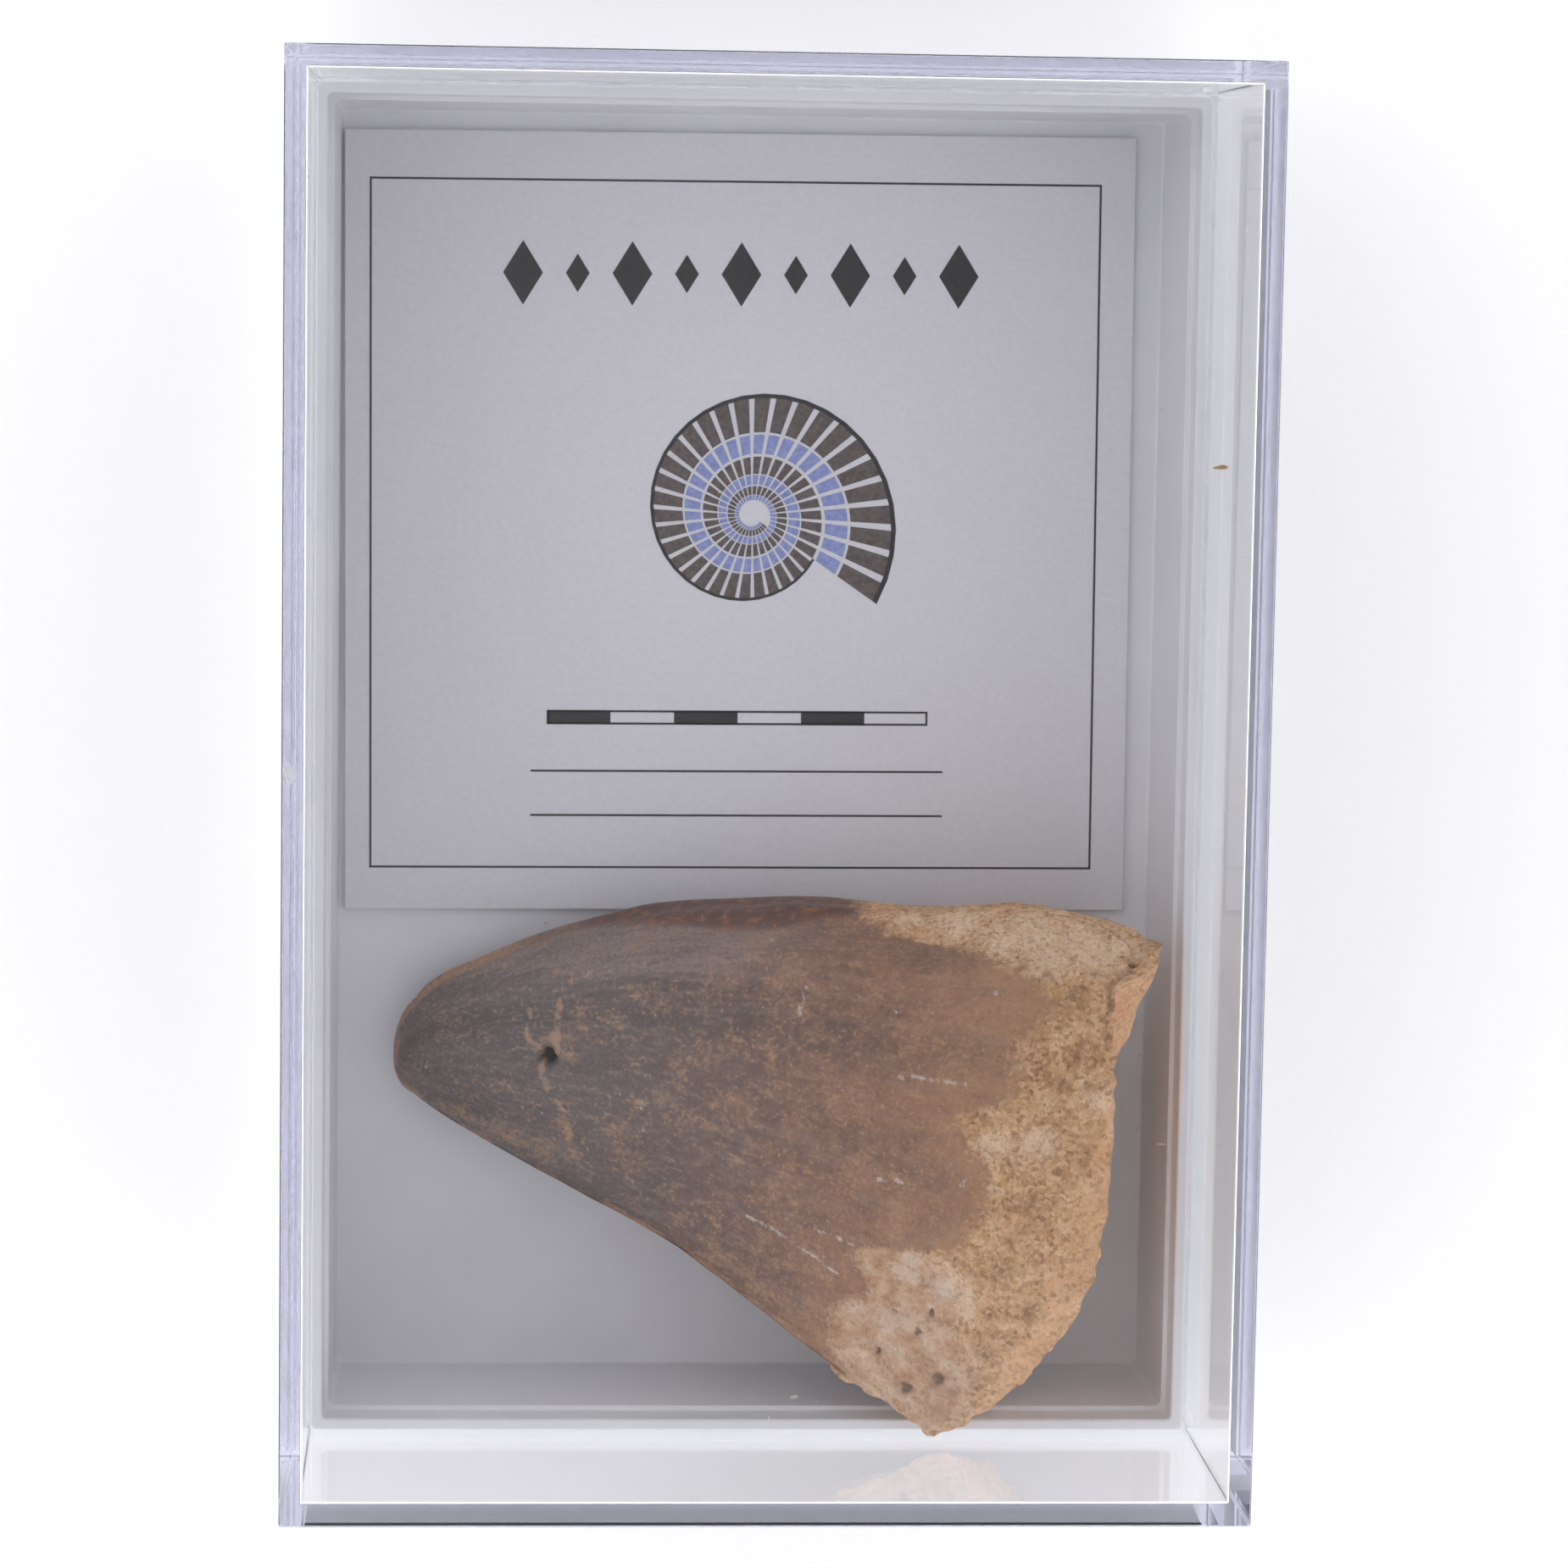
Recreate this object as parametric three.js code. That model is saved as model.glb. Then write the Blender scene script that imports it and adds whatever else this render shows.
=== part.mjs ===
// A fossil mosasaur tooth in the small display box that it is kept in.
// The box lies on its back: a white tray, a clear lid that lifts off, a square card on the
// tray's floor and, below it, the tooth with its root and the rock that still clings to it.
// Millimetres. +X is to the card's right, +Y towards the card's top edge, +Z up through the lid.
// The origin is the middle of the tray's underside.
import * as THREE from 'three';

// driving dimensions of the box
const BOX_WIDTH = 56;
const BOX_LENGTH = 83.9;
const BOX_HEIGHT = 33;
const LID_WALL = 1.0;
const LID_CORNER = 0.3;
const SKIRT_TOP = 6;
const SKIRT_INSET = 0.2;
const TRAY_SHIFT_X = -0.2;
const RIM_TOP = 15;
const RIM_GAP = 0.3;
const RIM_THICK = 0.7;
const LEDGE_DROP = 2.3;
const LEDGE_WIDTH = 0.3;
const FLOOR_TOP = 1.6;
const FLOOR_FILLET = 0.15;
const RIM_DRAFT = 0.05;
const WALL_DRAFT = 0.05;
const FOOT_ROUNDING = 0.3;
const RIM_ROUNDING = 0.12;
const RIM_CORNER = 0.6;
const RIM_INNER_CORNER = 0.5;
const FLOOR_CORNER = 0.8;
const LID_EDGE_ROUNDING = 0.25;
const LID_INNER_CORNER = 0.5;
const CORNER_STEPS = 4;

// driving dimensions of the card
const CARD_WIDTH = 49.3;
const CARD_HEIGHT = 48.7;
const CARD_THICK = 0.6;
const CARD_CENTRE = [-0.9, 14.1];
const CARD_TURN = THREE.MathUtils.degToRad(0.3);

// The tooth's two side edges as seen from above, from the worn tip to the broken base: x, y, z.
const UPPER_EDGE = [
  [-21.7, -18.3, 4.5], [-20.3, -15.8, 4.8], [-17.0, -13.7, 5.2], [-12.9, -11.6, 5.8],
  [-6.1, -9.6, 6.6], [-1.0, -9.1, 7.4], [3.7, -8.9, 8.0], [10.5, -9.3, 8.6],
  [16.2, -9.0, 9.0], [21.2, -10.0, 9.2],
];
const LOWER_EDGE = [
  [-21.9, -20.4, 4.5], [-20.9, -21.7, 4.8], [-18.2, -23.4, 5.6], [-14.6, -25.3, 6.8],
  [-9.9, -27.6, 8.4], [-5.4, -29.8, 10.0], [-0.3, -33.1, 12.2], [3.8, -36.0, 14.2],
  [8.2, -38.7, 16.4], [11.1, -40.3, 18.0],
];
// At the same ten stations: how far the tooth stands above and below the line between its edges.
const HEIGHT_ABOVE = [1.6, 2.1, 3.0, 4.1, 5.8, 7.2, 8.6, 10.2, 11.4, 12.0];
const DEPTH_BELOW = [1.6, 2.0, 2.7, 3.5, 4.8, 6.0, 7.5, 8.9, 9.8, 10.4];
const RIDGE_OFFSET_TOP = 0.36;
const RIDGE_OFFSET_UNDER = 0.08;
const EDGE_POINTING = 0.7;
// The broken base reaches past the last station: place across the tooth (-1 lower edge,
// 1 upper edge) and reach along the tooth.
const BASE_REACH = [
  [-1, 0], [-0.92, 1.4], [-0.76, 3.2], [-0.63, 3.8], [-0.47, 4.7], [-0.33, 4.9],
  [0, 3.5], [0.29, 2.4], [0.47, 1.6], [0.64, 0.9], [0.74, 1.2], [0.82, 2.9], [0.89, 2.8],
  [0.95, 1.1], [1, 0.3],
];
const STATIONS = 58;
const ROUND_POINTS = 66;
const TIP_RINGS = 3;
const TIP_BULGE = 0.35;
const BASE_RINGS = 8;

// Relief on the tooth. A place is given as along (0 tip, 1 base) and across (-1 to 1).
const FACETS = 11;
const FACET_DEPTH = 0.13;
const FACET_TURN = 0.6;
const CROWN_START = [0.02, 0.2];
const KEEL_HEIGHT = 0.2;
const KEEL_WIDTH = 0.12;
const ROCK_STEP = 0.175;
const BONE_FIBRES = { height: 0.16, across: 0.9, along: 3.2, deep: 1.4 };
// Uneven surfaces: how high the unevenness is and how far apart its lumps are.
const CROWN_WAVES = { height: 0.06, size: 2.2 };
const ROCK_LUMPS = { height: 0.42, size: 2.6 };
const ROCK_GRAINS = { height: 0.2, size: 1.1 };
const BREAK_LUMPS = { height: 0.75, size: 3.1 };
const BREAK_GRAINS = { height: 0.38, size: 1.4 };
// The broken face is even at its rim and has its full roughness this far in.
const BREAK_FULL_AT = 1 / 3;
// Where the enamel of the crown gives way to bone and rock, across against along.
const ENAMEL_END = [
  [-1, 0.82], [-0.78, 0.755], [-0.56, 0.76], [-0.43, 0.812], [-0.16, 0.838], [0.08, 0.858],
  [0.21, 0.873], [0.39, 0.907], [0.55, 0.925], [0.67, 0.895], [0.72, 0.85], [0.82, 0.8],
  [0.86, 0.735], [0.92, 0.695], [1, 0.66],
];
const ENAMEL_END_UNDER = 0.8;
const ENAMEL_END_BLUR = 0.012;
// The pale bone of the root lies at the lower corner, below this place across.
const BONE_EDGE = [[0.74, -0.5], [0.82, -0.43], [0.87, -0.58], [0.91, -0.76], [1, -0.95]];
// Open pores in the bone and one deep pit in the crown: along, across, radius, depth.
const HOLES = [
  [0.345, -0.05, 0.5, 0.75], [0.812, -0.75, 0.5, 0.45], [0.845, -0.69, 0.45, 0.4],
  [0.833, -0.78, 0.4, 0.35], [0.82, -0.89, 0.45, 0.4], [0.883, -0.88, 0.8, 0.6],
  [0.885, -0.96, 0.7, 0.5],
];
// Filled cracks across the crown: pairs of places that each stretch of crack joins.
const CRACKS = [
  [[0.33, 0.44], [0.345, -0.05]], [[0.352, 0.41], [0.35, 0.1]], [[0.345, -0.05], [0.362, -0.45]],
  [[0.362, -0.45], [0.388, -0.74]], [[0.613, -0.68], [0.665, -0.68]], [[0.665, -0.68], [0.743, -0.72]],
];
const CRACK_WIDTH = 0.45;
const CRACK_DEPTH = 0.14;

function material(color, roughness, extra = {}) {
  return new THREE.MeshStandardMaterial({ color, roughness, metalness: 0, ...extra });
}

function namedMesh(name, geometry, meshMaterial) {
  const mesh = new THREE.Mesh(geometry, meshMaterial);
  mesh.name = name;
  return mesh;
}

// One closed solid from rings of equal length: neighbours are joined by quads and the first
// and last ring are closed by a fan round their middle.
function ringSolid(rings) {
  const count = rings[0].length;
  const positions = [];
  const faces = [];
  for (const ring of rings) {
    for (const point of ring) {
      positions.push(point.x, point.y, point.z);
    }
  }
  for (let r = 0; r < rings.length - 1; r += 1) {
    for (let i = 0; i < count; i += 1) {
      const next = (i + 1) % count;
      const a = r * count + i;
      const b = r * count + next;
      const c = (r + 1) * count + next;
      const d = (r + 1) * count + i;
      faces.push(a, b, c, a, c, d);
    }
  }
  const closeWithFan = (start, outwards) => {
    const middle = new THREE.Vector3();
    for (let i = 0; i < count; i += 1) {
      middle.add(new THREE.Vector3().fromArray(positions, (start + i) * 3));
    }
    middle.divideScalar(count);
    const centre = positions.length / 3;
    positions.push(middle.x, middle.y, middle.z);
    for (let i = 0; i < count; i += 1) {
      const next = (i + 1) % count;
      if (outwards) {
        faces.push(centre, start + i, start + next);
      } else {
        faces.push(centre, start + next, start + i);
      }
    }
  };
  closeWithFan(0, false);
  closeWithFan((rings.length - 1) * count, true);
  const geometry = new THREE.BufferGeometry();
  geometry.setAttribute('position', new THREE.Float32BufferAttribute(positions, 3));
  geometry.setIndex(faces);
  geometry.computeVertexNormals();
  return geometry;
}

// A level rounded rectangle as a ring of points, anticlockwise from above.
function roundedRing(halfX, halfY, radius, z) {
  const ring = [];
  for (const [signX, signY, start] of [[1, -1, -90], [1, 1, 0], [-1, 1, 90], [-1, -1, 180]]) {
    const arc = new THREE.EllipseCurve(
      signX * (halfX - radius), signY * (halfY - radius), radius, radius,
      THREE.MathUtils.degToRad(start), THREE.MathUtils.degToRad(start + 90), false,
    );
    for (const point of arc.getPoints(CORNER_STEPS)) {
      ring.push(new THREE.Vector3(point.x, point.y, z));
    }
  }
  return ring;
}

// The tray: a low skirt that the lid stands on, a thin upright rim inside the lid, a narrow
// ledge just below the rim, and a flat floor.
function trayGeometry() {
  const skirt = (inset, z) =>
    roundedRing(BOX_WIDTH / 2 - inset, BOX_LENGTH / 2 - inset, LID_CORNER, z);
  const insideLid = (inset, corner, z) =>
    roundedRing(BOX_WIDTH / 2 - LID_WALL - inset, BOX_LENGTH / 2 - LID_WALL - inset, corner, z);
  const rimInset = RIM_GAP + RIM_THICK;
  const wallInset = rimInset + LEDGE_WIDTH;
  const ledgeTop = RIM_TOP - LEDGE_DROP;
  return ringSolid([
    skirt(SKIRT_INSET + FOOT_ROUNDING, 0),
    skirt(SKIRT_INSET, FOOT_ROUNDING),
    skirt(SKIRT_INSET, SKIRT_TOP),
    insideLid(RIM_GAP - RIM_DRAFT, RIM_CORNER, SKIRT_TOP),
    insideLid(RIM_GAP, RIM_CORNER, RIM_TOP - RIM_ROUNDING),
    insideLid(RIM_GAP + RIM_ROUNDING, RIM_CORNER, RIM_TOP),
    insideLid(rimInset - RIM_ROUNDING, RIM_INNER_CORNER, RIM_TOP),
    insideLid(rimInset, RIM_INNER_CORNER, RIM_TOP - RIM_ROUNDING),
    insideLid(rimInset, RIM_INNER_CORNER, ledgeTop),
    insideLid(wallInset, FLOOR_CORNER, ledgeTop),
    insideLid(wallInset + WALL_DRAFT, FLOOR_CORNER, FLOOR_TOP + FLOOR_FILLET),
    insideLid(wallInset + WALL_DRAFT + FLOOR_FILLET, FLOOR_CORNER, FLOOR_TOP),
  ]);
}

// The lid: one open box with square edges, its mouth down on the tray's skirt.
function lidGeometry() {
  const ring = (inset, corner, z) =>
    roundedRing(BOX_WIDTH / 2 - inset, BOX_LENGTH / 2 - inset, corner, z);
  const ceiling = BOX_HEIGHT - LID_WALL;
  return ringSolid([
    ring(LID_WALL + LID_EDGE_ROUNDING, LID_INNER_CORNER, ceiling),
    ring(LID_WALL, LID_INNER_CORNER, ceiling - LID_EDGE_ROUNDING),
    ring(LID_WALL, LID_INNER_CORNER, SKIRT_TOP),
    ring(0, LID_CORNER, SKIRT_TOP),
    ring(0, LID_CORNER, BOX_HEIGHT - LID_EDGE_ROUNDING),
    ring(LID_EDGE_ROUNDING, LID_CORNER, BOX_HEIGHT),
  ]);
}

// Repeatable noise from -1 to 1 that changes smoothly over one unit.
function noise(x, y, z) {
  const corner = (i, j, k) => {
    const wave = Math.sin(i * 127.1 + j * 311.7 + k * 74.7) * 43758.5453;
    return (wave - Math.floor(wave)) * 2 - 1;
  };
  const ease = (t) => t * t * (3 - 2 * t);
  const [i, j, k] = [Math.floor(x), Math.floor(y), Math.floor(z)];
  const [fx, fy, fz] = [ease(x - i), ease(y - j), ease(z - k)];
  const mix = THREE.MathUtils.lerp;
  const plane = (kk) => mix(
    mix(corner(i, j, kk), corner(i + 1, j, kk), fx),
    mix(corner(i, j + 1, kk), corner(i + 1, j + 1, kk), fx),
    fy,
  );
  return mix(plane(k), plane(k + 1), fz);
}

// Unevenness with the given height, its lumps the given size apart.
function uneven(point, { height, size }) {
  return height * noise(point.x / size, point.y / size, point.z / size);
}

function smoothCurve(points) {
  const places = points.map((p) => new THREE.Vector3(...p));
  return new THREE.CatmullRomCurve3(places, false, 'catmullrom', 0.5);
}

// A value given at evenly spaced stations, read anywhere from 0 to 1 between them.
function along(values, t) {
  const place = THREE.MathUtils.clamp(t, 0, 1) * (values.length - 1);
  const i = Math.min(Math.floor(place), values.length - 2);
  return THREE.MathUtils.lerp(values[i], values[i + 1], place - i);
}

// A value from a list of pairs [place, value], straight between the pairs.
function fromPairs(pairs, place) {
  for (let i = 1; i < pairs.length; i += 1) {
    const [p0, v0] = pairs[i - 1];
    const [p1, v1] = pairs[i];
    if (place <= p1) {
      return THREE.MathUtils.lerp(v0, v1, THREE.MathUtils.clamp((place - p0) / (p1 - p0), 0, 1));
    }
  }
  return pairs[pairs.length - 1][1];
}

const upperEdge = smoothCurve(UPPER_EDGE);
const lowerEdge = smoothCurve(LOWER_EDGE);

// The frame of one section: its middle, half its width, and the ways along and up.
function section(t) {
  const top = upperEdge.getPoint(t);
  const bottom = lowerEdge.getPoint(t);
  const middle = top.clone().add(bottom).multiplyScalar(0.5);
  const half = top.clone().sub(bottom).multiplyScalar(0.5);
  const forward = new THREE.Vector3(half.y, -half.x, 0).normalize();
  const up = new THREE.Vector3().crossVectors(forward, half.clone().normalize()).normalize();
  return { middle, half, forward, up };
}

// How far across the tooth a point is whose section angle is given, from -1 to 1.
function acrossAt(angle) {
  const lift = Math.sin(angle);
  const offset = lift >= 0 ? RIDGE_OFFSET_TOP : RIDGE_OFFSET_UNDER;
  return Math.cos(angle) + offset * lift * lift;
}

// The smooth tooth: lens-shaped sections, their ridge nearer the upper edge.
function smoothPoint(t, angle) {
  const { middle, half, forward, up } = section(t);
  const lift = Math.sin(angle);
  const across = acrossAt(angle);
  const pointing = 1 + EDGE_POINTING * (1 - Math.cos(angle)) / 2;
  const height = Math.abs(lift) ** pointing;
  const rise = lift >= 0 ? height * along(HEIGHT_ABOVE, t) : -height * along(DEPTH_BELOW, t);
  return middle.clone()
    .addScaledVector(half, across)
    .addScaledVector(forward, fromPairs(BASE_REACH, across) * t * t)
    .addScaledVector(up, rise);
}

// The way straight out of the smooth surface, from two short steps along it.
function outwardAt(t, angle) {
  const step = 0.004;
  const turn = 0.03;
  const before = smoothPoint(Math.max(t - step, 0), angle);
  const alongWay = smoothPoint(Math.min(t + step, 1), angle).sub(before);
  const roundWay = smoothPoint(t, angle + turn).sub(smoothPoint(t, angle - turn));
  return roundWay.cross(alongWay).normalize();
}

// 0 on the enamel, 1 on bone and rock, with a short ramp at the line between them.
function rockiness(t, angle) {
  const end = Math.sin(angle) >= 0 ? fromPairs(ENAMEL_END, acrossAt(angle)) : ENAMEL_END_UNDER;
  return THREE.MathUtils.smoothstep(t, end - ENAMEL_END_BLUR, end + ENAMEL_END_BLUR);
}

function distanceToStretch(point, start, end) {
  const nearest = new THREE.Line3(start, end).closestPointToPoint(point, true, new THREE.Vector3());
  return nearest.distanceTo(point);
}

// A place given as along and across, on the tooth's upper face.
function placeOnTop(t, across) {
  const halvings = 30;
  let [low, high] = [0, Math.PI];
  for (let i = 0; i < halvings; i += 1) {
    const middle = (low + high) / 2;
    if (acrossAt(middle) > across) {
      low = middle;
    } else {
      high = middle;
    }
  }
  return smoothPoint(t, low);
}

const holes = HOLES.map(([t, across, radius, depth]) => (
  { centre: placeOnTop(t, across), radius, depth }
));
const cracks = CRACKS.map((ends) => ends.map(([t, across]) => placeOnTop(t, across)));

// How far the real surface stands out from the smooth one.
function relief(t, angle, point) {
  const { x, y, z } = point;
  const rocky = rockiness(t, angle);
  const onTop = Math.sin(angle) >= 0;
  const crown = (1 - rocky) * THREE.MathUtils.smoothstep(t, ...CROWN_START);
  const bone = onTop && acrossAt(angle) < fromPairs(BONE_EDGE, t) ? rocky : 0;
  const rock = rocky - bone;
  const fibre = BONE_FIBRES;
  let out = crown * FACET_DEPTH * Math.cos(angle * FACETS + FACET_TURN);
  out += crown * KEEL_HEIGHT * Math.exp(-((Math.sin(angle / 2) / KEEL_WIDTH) ** 2));
  out += crown * uneven(point, CROWN_WAVES);
  out += rock * (ROCK_STEP + uneven(point, ROCK_LUMPS) + uneven(point, ROCK_GRAINS));
  out += bone * fibre.height * noise((x + y) / fibre.across, (x - y) / fibre.along, z / fibre.deep);
  if (onTop) {
    for (const hole of holes) {
      const away = point.distanceTo(hole.centre) / hole.radius;
      out -= hole.depth * Math.exp(-away * away);
    }
    for (const [start, end] of cracks) {
      const away = distanceToStretch(point, start, end) / CRACK_WIDTH;
      out -= CRACK_DEPTH * Math.exp(-away * away);
    }
  }
  return out;
}

function toothPoint(t, angle) {
  const point = smoothPoint(t, angle);
  return point.clone().addScaledVector(outwardAt(t, angle), relief(t, angle, point));
}

// A ring made smaller round its own middle.
function shrunk(ring, scale) {
  const middle = new THREE.Vector3();
  for (const point of ring) {
    middle.add(point);
  }
  middle.divideScalar(ring.length);
  return ring.map((point) => point.clone().sub(middle).multiplyScalar(scale).add(middle));
}

function toothRing(t) {
  const ring = [];
  for (let i = 0; i < ROUND_POINTS; i += 1) {
    ring.push(toothPoint(t, (i / ROUND_POINTS) * Math.PI * 2));
  }
  return ring;
}

// The tooth with its relief: a rounded worn tip, the long body, and a lumpy broken base.
function toothGeometry() {
  const rings = [];
  const tip = toothRing(0);
  const tipWay = section(0).forward.clone().negate();
  for (let r = 1; r <= TIP_RINGS; r += 1) {
    const turn = (r / (TIP_RINGS + 1)) * Math.PI / 2;
    const bulge = Math.cos(turn) * TIP_BULGE;
    rings.push(shrunk(tip, Math.sin(turn)).map((p) => p.addScaledVector(tipWay, bulge)));
  }
  for (let i = 0; i <= STATIONS; i += 1) {
    rings.push(toothRing(i / STATIONS));
  }
  const base = rings[rings.length - 1];
  const baseWay = section(1).forward;
  for (let r = 1; r <= BASE_RINGS; r += 1) {
    const inwards = r / (BASE_RINGS + 0.5);
    const strength = Math.min(1, inwards / BREAK_FULL_AT);
    rings.push(shrunk(base, 1 - inwards).map((p) => {
      const lump = uneven(p, BREAK_LUMPS) + uneven(p, BREAK_GRAINS);
      return p.addScaledVector(baseWay, strength * lump);
    }));
  }
  return ringSolid(rings);
}

const trayWhite = material(0xdcdce0, 0.35);
const lidClear = material(0xe9e9f6, 0.05, { transparent: true, opacity: 0.25 });
const cardPaper = material(0xd8d8df, 0.85);
const toothBrown = material(0x8a7060, 0.55);

const part = new THREE.Group();
const tray = namedMesh('tray', trayGeometry(), trayWhite);
tray.position.x = TRAY_SHIFT_X;
const lid = namedMesh('lid', lidGeometry(), lidClear);
const cardGeometry = new THREE.BoxGeometry(CARD_WIDTH, CARD_HEIGHT, CARD_THICK);
const card = namedMesh('label_card', cardGeometry, cardPaper);
card.position.set(CARD_CENTRE[0], CARD_CENTRE[1], FLOOR_TOP + CARD_THICK / 2);
card.rotation.z = CARD_TURN;
const tooth = namedMesh('tooth', toothGeometry(), toothBrown);
part.add(tray, lid, card, tooth);

export default part;
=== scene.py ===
# %% [markdown]
# A fossil mosasaur tooth in its display box
#
# A tooth of a sea reptile, with its root and some of the phosphate rock that it was found in,
# lies in a white moulded tray under a clear lid, below a square card. The pieces' sizes and
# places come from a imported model, the frame. This script gives each of them its fine surface
# and its finish. It is a lesson: each step says what the real thing is and why it is made so.

# %% Load the frame
import math

import bpy
import numpy as np
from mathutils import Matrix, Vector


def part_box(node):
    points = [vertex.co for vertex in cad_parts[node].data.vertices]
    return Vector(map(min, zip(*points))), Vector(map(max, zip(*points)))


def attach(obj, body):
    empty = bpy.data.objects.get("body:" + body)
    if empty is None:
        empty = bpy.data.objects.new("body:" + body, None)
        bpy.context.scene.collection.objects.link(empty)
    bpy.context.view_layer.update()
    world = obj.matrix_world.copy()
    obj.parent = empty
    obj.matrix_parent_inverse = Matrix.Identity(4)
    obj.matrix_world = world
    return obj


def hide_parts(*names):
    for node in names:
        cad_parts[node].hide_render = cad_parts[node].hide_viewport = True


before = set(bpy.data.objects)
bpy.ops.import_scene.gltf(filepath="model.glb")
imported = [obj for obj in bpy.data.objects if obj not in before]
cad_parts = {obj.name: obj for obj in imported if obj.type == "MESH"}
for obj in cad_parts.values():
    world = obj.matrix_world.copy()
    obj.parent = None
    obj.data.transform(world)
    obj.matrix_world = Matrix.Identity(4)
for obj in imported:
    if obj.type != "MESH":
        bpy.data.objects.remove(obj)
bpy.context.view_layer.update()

print("nodes in the frame:", sorted(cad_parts))

# %% [markdown]
# Two helpers for values. Blender's sockets want linear colour, while a maker picks colours as
# sRGB hex values, so one function turns the one into the other. Sizes are written in
# millimetres, and a pattern's scale is how many of its cells fit in a metre.

# %% Helpers for colour and scale
MM = 0.001


def linear(hex_colour):
    """An sRGB colour such as '#8a7060' as linear RGBA."""
    channels = []
    for start in (1, 3, 5):
        value = int(hex_colour[start:start + 2], 16) / 255
        channels.append(value / 12.92 if value <= 0.04045 else ((value + 0.055) / 1.055) ** 2.4)
    return (*channels, 1.0)


def cells(size_mm):
    """A texture's scale for features of this size."""
    return 1 / (size_mm * MM)


print("a mid grey of #808080 is", round(linear("#808080")[0], 3), "in linear colour")

# %% [markdown]
# Two helpers for materials. One adds a shader node with its settings and links, so that a
# material reads as a list of nodes. The other starts a material with one shader.

# %% Helpers for nodes and materials
def add(tree, kind, inputs=None, out=0, stops=(), **settings):
    """Adds a node with its settings, the stops of a colour ramp, and a value or a link for each
    input, and returns the output asked for."""
    node = tree.nodes.new("ShaderNode" + kind)
    for name, value in settings.items():
        setattr(node, name, value)
    for i, (position, colour) in enumerate(stops):
        elements = node.color_ramp.elements
        element = elements[i] if i < len(elements) else elements.new(position)
        element.position = position
        element.color = linear(colour)
    for socket, value in (inputs or {}).items():
        if isinstance(value, bpy.types.NodeSocket):
            tree.links.new(value, node.inputs[socket])
        else:
            node.inputs[socket].default_value = value
    return node.outputs[out]


def new_material(name, **sockets):
    """A material with one Principled shader, its plain sockets set."""
    material = bpy.data.materials.new(name)
    material.use_nodes = True
    shader = material.node_tree.nodes["Principled BSDF"]
    for socket, value in sockets.items():
        shader.inputs[socket.replace("_", " ")].default_value = value
    return material, material.node_tree, shader


# The colour sockets of a Mix node, which come after those for numbers and vectors.
MIX_A, MIX_B, MIX_RESULT = 6, 7, 2

# %% [markdown]
# The camera stands about 26 cm above the lid and looks almost straight down, a little from
# the card's side, so that the inner faces of the right and lower walls show. A lens of 107 mm
# keeps the walls' lines nearly parallel. Its place was worked out from the box's corners.

# %% Camera
PHOTO_SIDE = 1850
FOCAL_IN_PIXELS = 5497
SENSOR_WIDTH = 36
CAMERA_PLACE = (-15.79, 28.65, 294.33)
CAMERA_TURN = (-6.079, -3.427, 0.879)

camera_data = bpy.data.cameras.new("camera")
camera_data.sensor_width = SENSOR_WIDTH
camera_data.lens = SENSOR_WIDTH * FOCAL_IN_PIXELS / PHOTO_SIDE
camera = bpy.data.objects.new("camera", camera_data)
camera.location = [value * MM for value in CAMERA_PLACE]
camera.rotation_euler = [math.radians(value) for value in CAMERA_TURN]
bpy.context.scene.collection.objects.link(camera)
bpy.context.scene.camera = camera
print("lens", round(camera_data.lens, 1), "mm")

# %% [markdown]
# The light is a tent of white cloth, as used for small things: a world that is brightest low
# down, more so on the side below the tooth and a little on the left, with a dark hole overhead,
# where the camera looks in. The lid's flat top mirrors that hole, so it has to be dark, or a
# veil would lie over all that is under the lid. A world lights what lies under clear plastic
# well, because every ray that leaves the lid ends in it. Cycles can also aim rays at a world,
# as at a lamp, but the lid would stop them all, so that is turned off, and a render then takes
# about a third of the time.

# %% World light
WORLD_STRENGTH = 2.18
WORLD_TINT = "#fbfbff"
# Each light or dark place in the sky: its way, the cosines where it starts and is full, and
# how much it adds to the strength there.
SKY_PLACES = (
    ((0.0, 0.0, 1.0), 0.3, 0.9, -1.1),
    ((0.055, -0.05, 1.0), 0.971, 0.989, -0.94),
    ((0.0, -0.93, 0.37), 0.5, 0.95, 0.5),
    ((0.0, 0.93, 0.37), 0.5, 0.95, -0.28),
    ((-0.64, 0.0, 0.77), 0.6, 0.95, 0.35),
)

world = bpy.data.worlds.new("pale_room")
bpy.context.scene.world = world
world.use_nodes = True
world.cycles.sampling_method = "NONE"
tree = world.node_tree
way = add(tree, "TexCoord", out="Generated")
strength = WORLD_STRENGTH
for sky_way, start, full, change in SKY_PLACES:
    length = math.sqrt(sum(value * value for value in sky_way))
    facing = add(tree, "VectorMath", {
        0: way, 1: [value / length for value in sky_way],
    }, out="Value", operation="DOT_PRODUCT")
    there = add(tree, "MapRange", {
        "Value": facing, "From Min": start, "From Max": full, "To Max": change,
    }, interpolation_type="SMOOTHSTEP")
    strength = add(tree, "Math", {0: strength, 1: there}, operation="ADD")
background = tree.nodes["Background"]
background.inputs["Color"].default_value = linear(WORLD_TINT)
tree.links.new(strength, background.inputs["Strength"])
bpy.context.scene.view_settings.view_transform = "Standard"
print(len(SKY_PLACES), "lighter and darker places in the sky")

# %% [markdown]
# The box stands on a plain pale sweep of paper, far wider than the picture. It is only the
# stage, and no part of the object.

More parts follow.
